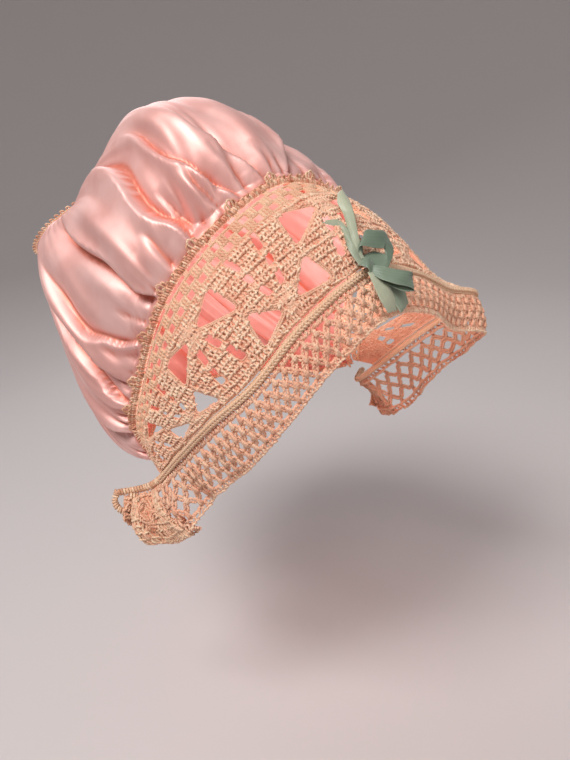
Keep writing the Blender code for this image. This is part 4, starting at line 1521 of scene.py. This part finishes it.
# each ribbon: its node, tone (painted light and shade of the piece), cup, and rows of its two edges in
# millimetres from the knot: side, up, out
ribbons = {
    "bowLoopUpper": ("bow_loop_upper", 0.16, 0.3, [
        ((-2.0, 8.5, 0.5), (-7.6, 2.2, 0.5)), ((3.5, 7.1, 3.0), (-3.7, -1.7, 2.0)),
        ((6.6, 3.0, 4.6), (0.6, -5.7, 3.4)), ((7.5, 3.8, 5.6), (6.9, -2.7, 5.0)),
        ((7.5, 5.9, 6.2), (13.9, 2.9, 5.4)), ((6.6, 5.3, 6.6), (17.3, 10.1, 6.2)),
        ((6.8, 4.9, 6.6), (16.9, 14.5, 7.4)), ((0.6, 7.7, 6.4), (10.9, 16.7, 8.0)),
        ((-4.8, 11.4, 5.6), (6.8, 19.4, 7.0)), ((-6.0, 10.0, 3.6), (1.5, 15.5, 4.4)),
        ((-5.5, 7.2, 1.0), (-2.9, 8.0, 1.2))]),
    "bowLoopSide": ("bow_loop_side", 0.30, 0.3, [
        ((-5.1, 1.8, 0.6), (-7.8, -2.0, 0.4)), ((-3.2, -3.5, 4.4), (-8.5, -10.3, 3.0)),
        ((1.9, -9.6, 6.6), (-5.8, -16.4, 5.0)), ((8.1, -14.5, 7.0), (-2.1, -19.8, 5.8)),
        ((10.9, -15.1, 5.6), (2.6, -23.0, 4.6)), ((6.7, -16.4, 4.4), (3.5, -23.9, 3.6)),
        ((0.0, -13.9, 3.2), (-2.6, -20.1, 2.4)), ((-5.3, -3.9, 0.8), (-7.4, -7.9, 0.4))]),
    "bowTailUpFar": ("bow_tail_up_far", 0.80, 1.2, [
        ((-6.7, 6.2, 0.6), (-3.1, 6.6, 0.8)), ((-6.4, 14.5, 3.0), (-1.7, 13.9, 4.2)),
        ((0.4, 26.6, 3.4), (2.4, 21.6, 6.0)), ((6.3, 36.4, 3.6), (8.1, 30.7, 7.0)),
        ((8.0, 44.0, 5.0), (13.3, 38.3, 6.6)), ((12.7, 49.4, 6.0), (18.4, 46.5, 5.4)),
        ((19.0, 52.6, 5.0), (20.2, 52.6, 4.6))]),
    "bowTailUpNear": ("bow_tail_up_near", 0.66, 1.0, [
        ((-10.5, 3.3, 0.4), (-5.9, 4.3, 0.6)), ((-10.3, 12.1, 2.0), (-6.4, 11.8, 3.4)),
        ((-5.4, 21.7, 1.6), (-3.9, 19.9, 4.2)), ((-2.3, 29.0, 2.0), (-0.3, 27.0, 4.2)),
        ((-6.1, 32.1, 2.6), (-0.5, 33.6, 3.6)), ((-9.1, 35.1, 2.2), (-5.5, 36.2, 2.4))]),
    "bowTailFront": ("bow_tail_front", 0.95, 0.5, [
        ((-9.7, -2.4, 0.8), (-6.1, -2.5, 1.0)), ((-14.4, -12.2, 1.2), (-4.0, -11.2, 0.8)),
        ((-14.4, -19.8, -1.6), (-2.8, -17.9, -2.0)), ((-11.5, -25.2, -6.4), (-1.2, -24.6, -6.6))]),
    "bowTailSide": ("bow_tail_side", 0.40, 0.5, [
        ((-7.6, -4.5, 0.2), (-2.9, -4.1, 0.2)), ((-7.3, -14.0, -0.6), (3.2, -12.1, -0.8)),
        ((-5.1, -20.6, -3.6), (8.0, -18.3, -3.8)), ((-2.9, -26.6, -7.0), (8.0, -24.1, -7.0))]),
    "bowKnot": ("bow_knot", 0.34, 0.9, [
        ((-9.8, 3.6, 0.2), (-3.4, 7.4, 0.2)), ((-10.6, 2.4, 1.6), (-4.2, 6.6, 1.8)),
        ((-10.3, 0.6, 2.8), (-3.4, 4.6, 3.0)), ((-9.9, -1.4, 2.9), (-3.0, 2.4, 3.1)),
        ((-9.4, -3.4, 1.8), (-2.8, 0.2, 2.0)), ((-8.8, -4.4, 0.2), (-2.4, -1.0, 0.2))]),
}


def knotPlace(local):
    local = np.asarray(local) * 0.001
    return knotCentre + knotSide * local[..., :1] + knotUp * local[..., 1:2] + knotOut * local[..., 2:3]


def ribbonStrip(name, node, tone, cup, rows):
    # a thin woven strip between two edges, with a rounded middle; a tail has a frayed end
    rows = np.array(rows)
    isTail = "Tail" in name
    steps, wide = (len(rows) - 1) * bow["steps"] + 1, bow["wide"]
    t = np.linspace(0, len(rows) - 1, steps)
    left, right = knotPlace(spline(rows[:, 0], t)), knotPlace(spline(rows[:, 1], t))
    share = np.linspace(0, 1, wide)[None, :, None]
    top = left[:, None] * (1 - share) + right[:, None] * share
    ahead = np.gradient(top, axis=0)
    across = np.broadcast_to((right - left)[:, None], top.shape)
    face = unit(np.cross(ahead, across))
    face = np.where(dot(face, knotOut) < -0.2, -face, face)
    arch = np.sin(math.pi * share) * bow["arch"] * cup
    run = t[:, None, None]
    crimp = 0.00012 * np.sin(share * 31 + run * 2.0) + 0.00025 * np.sin(run * 2.6 + share * 4)
    top = top + face * (arch + crimp)
    if isTail:
        longest, loose = bow["fray"]
        pull = dice.uniform(0.0, longest, (1, wide, 1)) * (dice.random((1, wide, 1)) < loose)
        top[-1:] += unit(ahead[-1:]) * pull
    bottom = top - face * bow["thick"]
    verts = np.concatenate([top.reshape(-1, 3), bottom.reshape(-1, 3)])
    a = np.arange(steps * wide).reshape(steps, wide)
    b = a + steps * wide
    faces = [np.stack([a[:-1, :-1], a[1:, :-1], a[1:, 1:], a[:-1, 1:]], -1).reshape(-1, 4),
             np.stack([b[:-1, :-1], b[:-1, 1:], b[1:, 1:], b[1:, :-1]], -1).reshape(-1, 4)]
    for one, two in ((a[:, 0], b[:, 0]), (b[:, -1], a[:, -1]), (b[0], a[0]), (a[-1], b[-1])):
        faces.append(np.stack([one[:-1], two[:-1], two[1:], one[1:]], -1))
    run = t[:, None] / t[-1]
    across = share[:, :, 0]
    pale = bow["tailPaling"] * run if isTail else bow["loopPaling"] * np.sin(run * 9)
    edge, paler = bow["edge"]
    # painted light and shade in the piece's tone, paler along a tail and in waves along a loop; the paler
    # selvedge is the ribbon's own
    fade = np.clip(tone + pale + paler * (np.abs(across - 0.5) > edge), 0, 1)
    cloth = np.stack([np.broadcast_to(run * 0.045, fade.shape),
                      np.broadcast_to(across * bow["width"], fade.shape), np.zeros(fade.shape)], -1)
    obj = meshPiece(name, verts, np.concatenate(faces), sageRibbon,
                    {"fade": np.concatenate([fade.ravel()] * 2)},
                    {"cloth": np.concatenate([cloth.reshape(-1, 3)] * 2)})
    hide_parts(node)


for name, row in ribbons.items():
    ribbonStrip(name, *row)


print("pieces ready")


# floor, light
stage = {
    "floor": -0.36,
    "flat": 1.2,
    "bend": 1.6,
    "height": 3.4,
    "steps": 16,
    "around": 64,
    "colour": (0.60, 0.56, 0.555),
    "roughness": 0.95,
    "gloss": 0.1,
}


def buildStage(look):
    # a round pale floor that curves up into a wall, so that no edge shows
    material = bpy.data.materials.new("paleFloor")
    material.use_nodes = True
    shader = material.node_tree.nodes["Principled BSDF"]
    shader.inputs["Base Color"].default_value = (*look["colour"], 1.0)
    shader.inputs["Roughness"].default_value = look["roughness"]
    shader.inputs["Specular IOR Level"].default_value = look["gloss"]
    profile = [(0.0, 0.0), (look["flat"], 0.0)]
    for i in range(1, look["steps"] + 1):
        turn = i / look["steps"] * math.pi / 2
        profile.append((look["flat"] + look["bend"] * math.sin(turn), look["bend"] * (1 - math.cos(turn))))
    profile.append((look["flat"] + look["bend"], look["height"]))
    count = look["around"]
    verts, faces = [], []
    for r, z in profile:
        for i in range(count):
            turn = 2 * math.pi * i / count
            verts.append((r * math.cos(turn), r * math.sin(turn), look["floor"] + z))
    for j in range(len(profile) - 1):
        for i in range(count):
            a, b = j * count + i, j * count + (i + 1) % count
            faces.append((a, b, b + count, a + count))
    floor = bpy.data.objects.new("paleFloor", smoothMesh("paleFloor", verts, faces, material))
    bpy.context.scene.collection.objects.link(floor)


buildStage(stage)

lamps = {
    "windowLight": {"place": (-0.78, -0.2, 1.2), "aim": (0.0, 0.03, -0.05),
                    "size": (0.7, 0.6), "power": 21.5, "colour": (1.0, 0.975, 0.96)},
    "frontLight": {"place": (0.1, -1.4, 0.25), "aim": (0.0, 0.0, -0.08),
                   "size": (1.0, 0.8), "power": 4.5, "colour": (1.0, 0.975, 0.95)},
    "hollowLight": {"place": (0.0, 0.02, -0.15), "aim": (0.0, 0.02, 0.0),
                    "size": (0.08, 0.08), "power": 0.28, "colour": (1.0, 0.98, 0.96)},
    "backLight": {"place": (0.5, 1.1, 0.8), "aim": (0.0, 0.05, -0.05),
                  "size": (0.8, 0.8), "power": 6.0, "colour": (0.97, 0.98, 1.0)},
}


def buildLights(setup):
    for name, lamp in setup.items():
        data = bpy.data.lights.new(name, "AREA")
        data.shape = "RECTANGLE"
        data.size, data.size_y = lamp["size"]
        data.energy = lamp["power"]
        data.color = lamp["colour"]
        light = bpy.data.objects.new(name, data)
        bpy.context.scene.collection.objects.link(light)
        light.visible_camera = False
        light.location = lamp["place"]
        aim = Vector(lamp["aim"]) - Vector(lamp["place"])
        light.rotation_euler = aim.to_track_quat("-Z", "Y").to_euler()


air = {"colour": (0.86, 0.85, 0.86), "strength": 0.32}


def buildAir(look):
    # the even light from all sides
    world = bpy.data.worlds.new("studioAir")
    world.use_nodes = True
    inputs = world.node_tree.nodes["Background"].inputs
    inputs["Color"].default_value = (*look["colour"], 1.0)
    inputs["Strength"].default_value = look["strength"]
    bpy.context.scene.world = world


buildLights(lamps)
buildAir(air)
bpy.context.scene.view_settings.view_transform = "Standard"
print("stage ready")
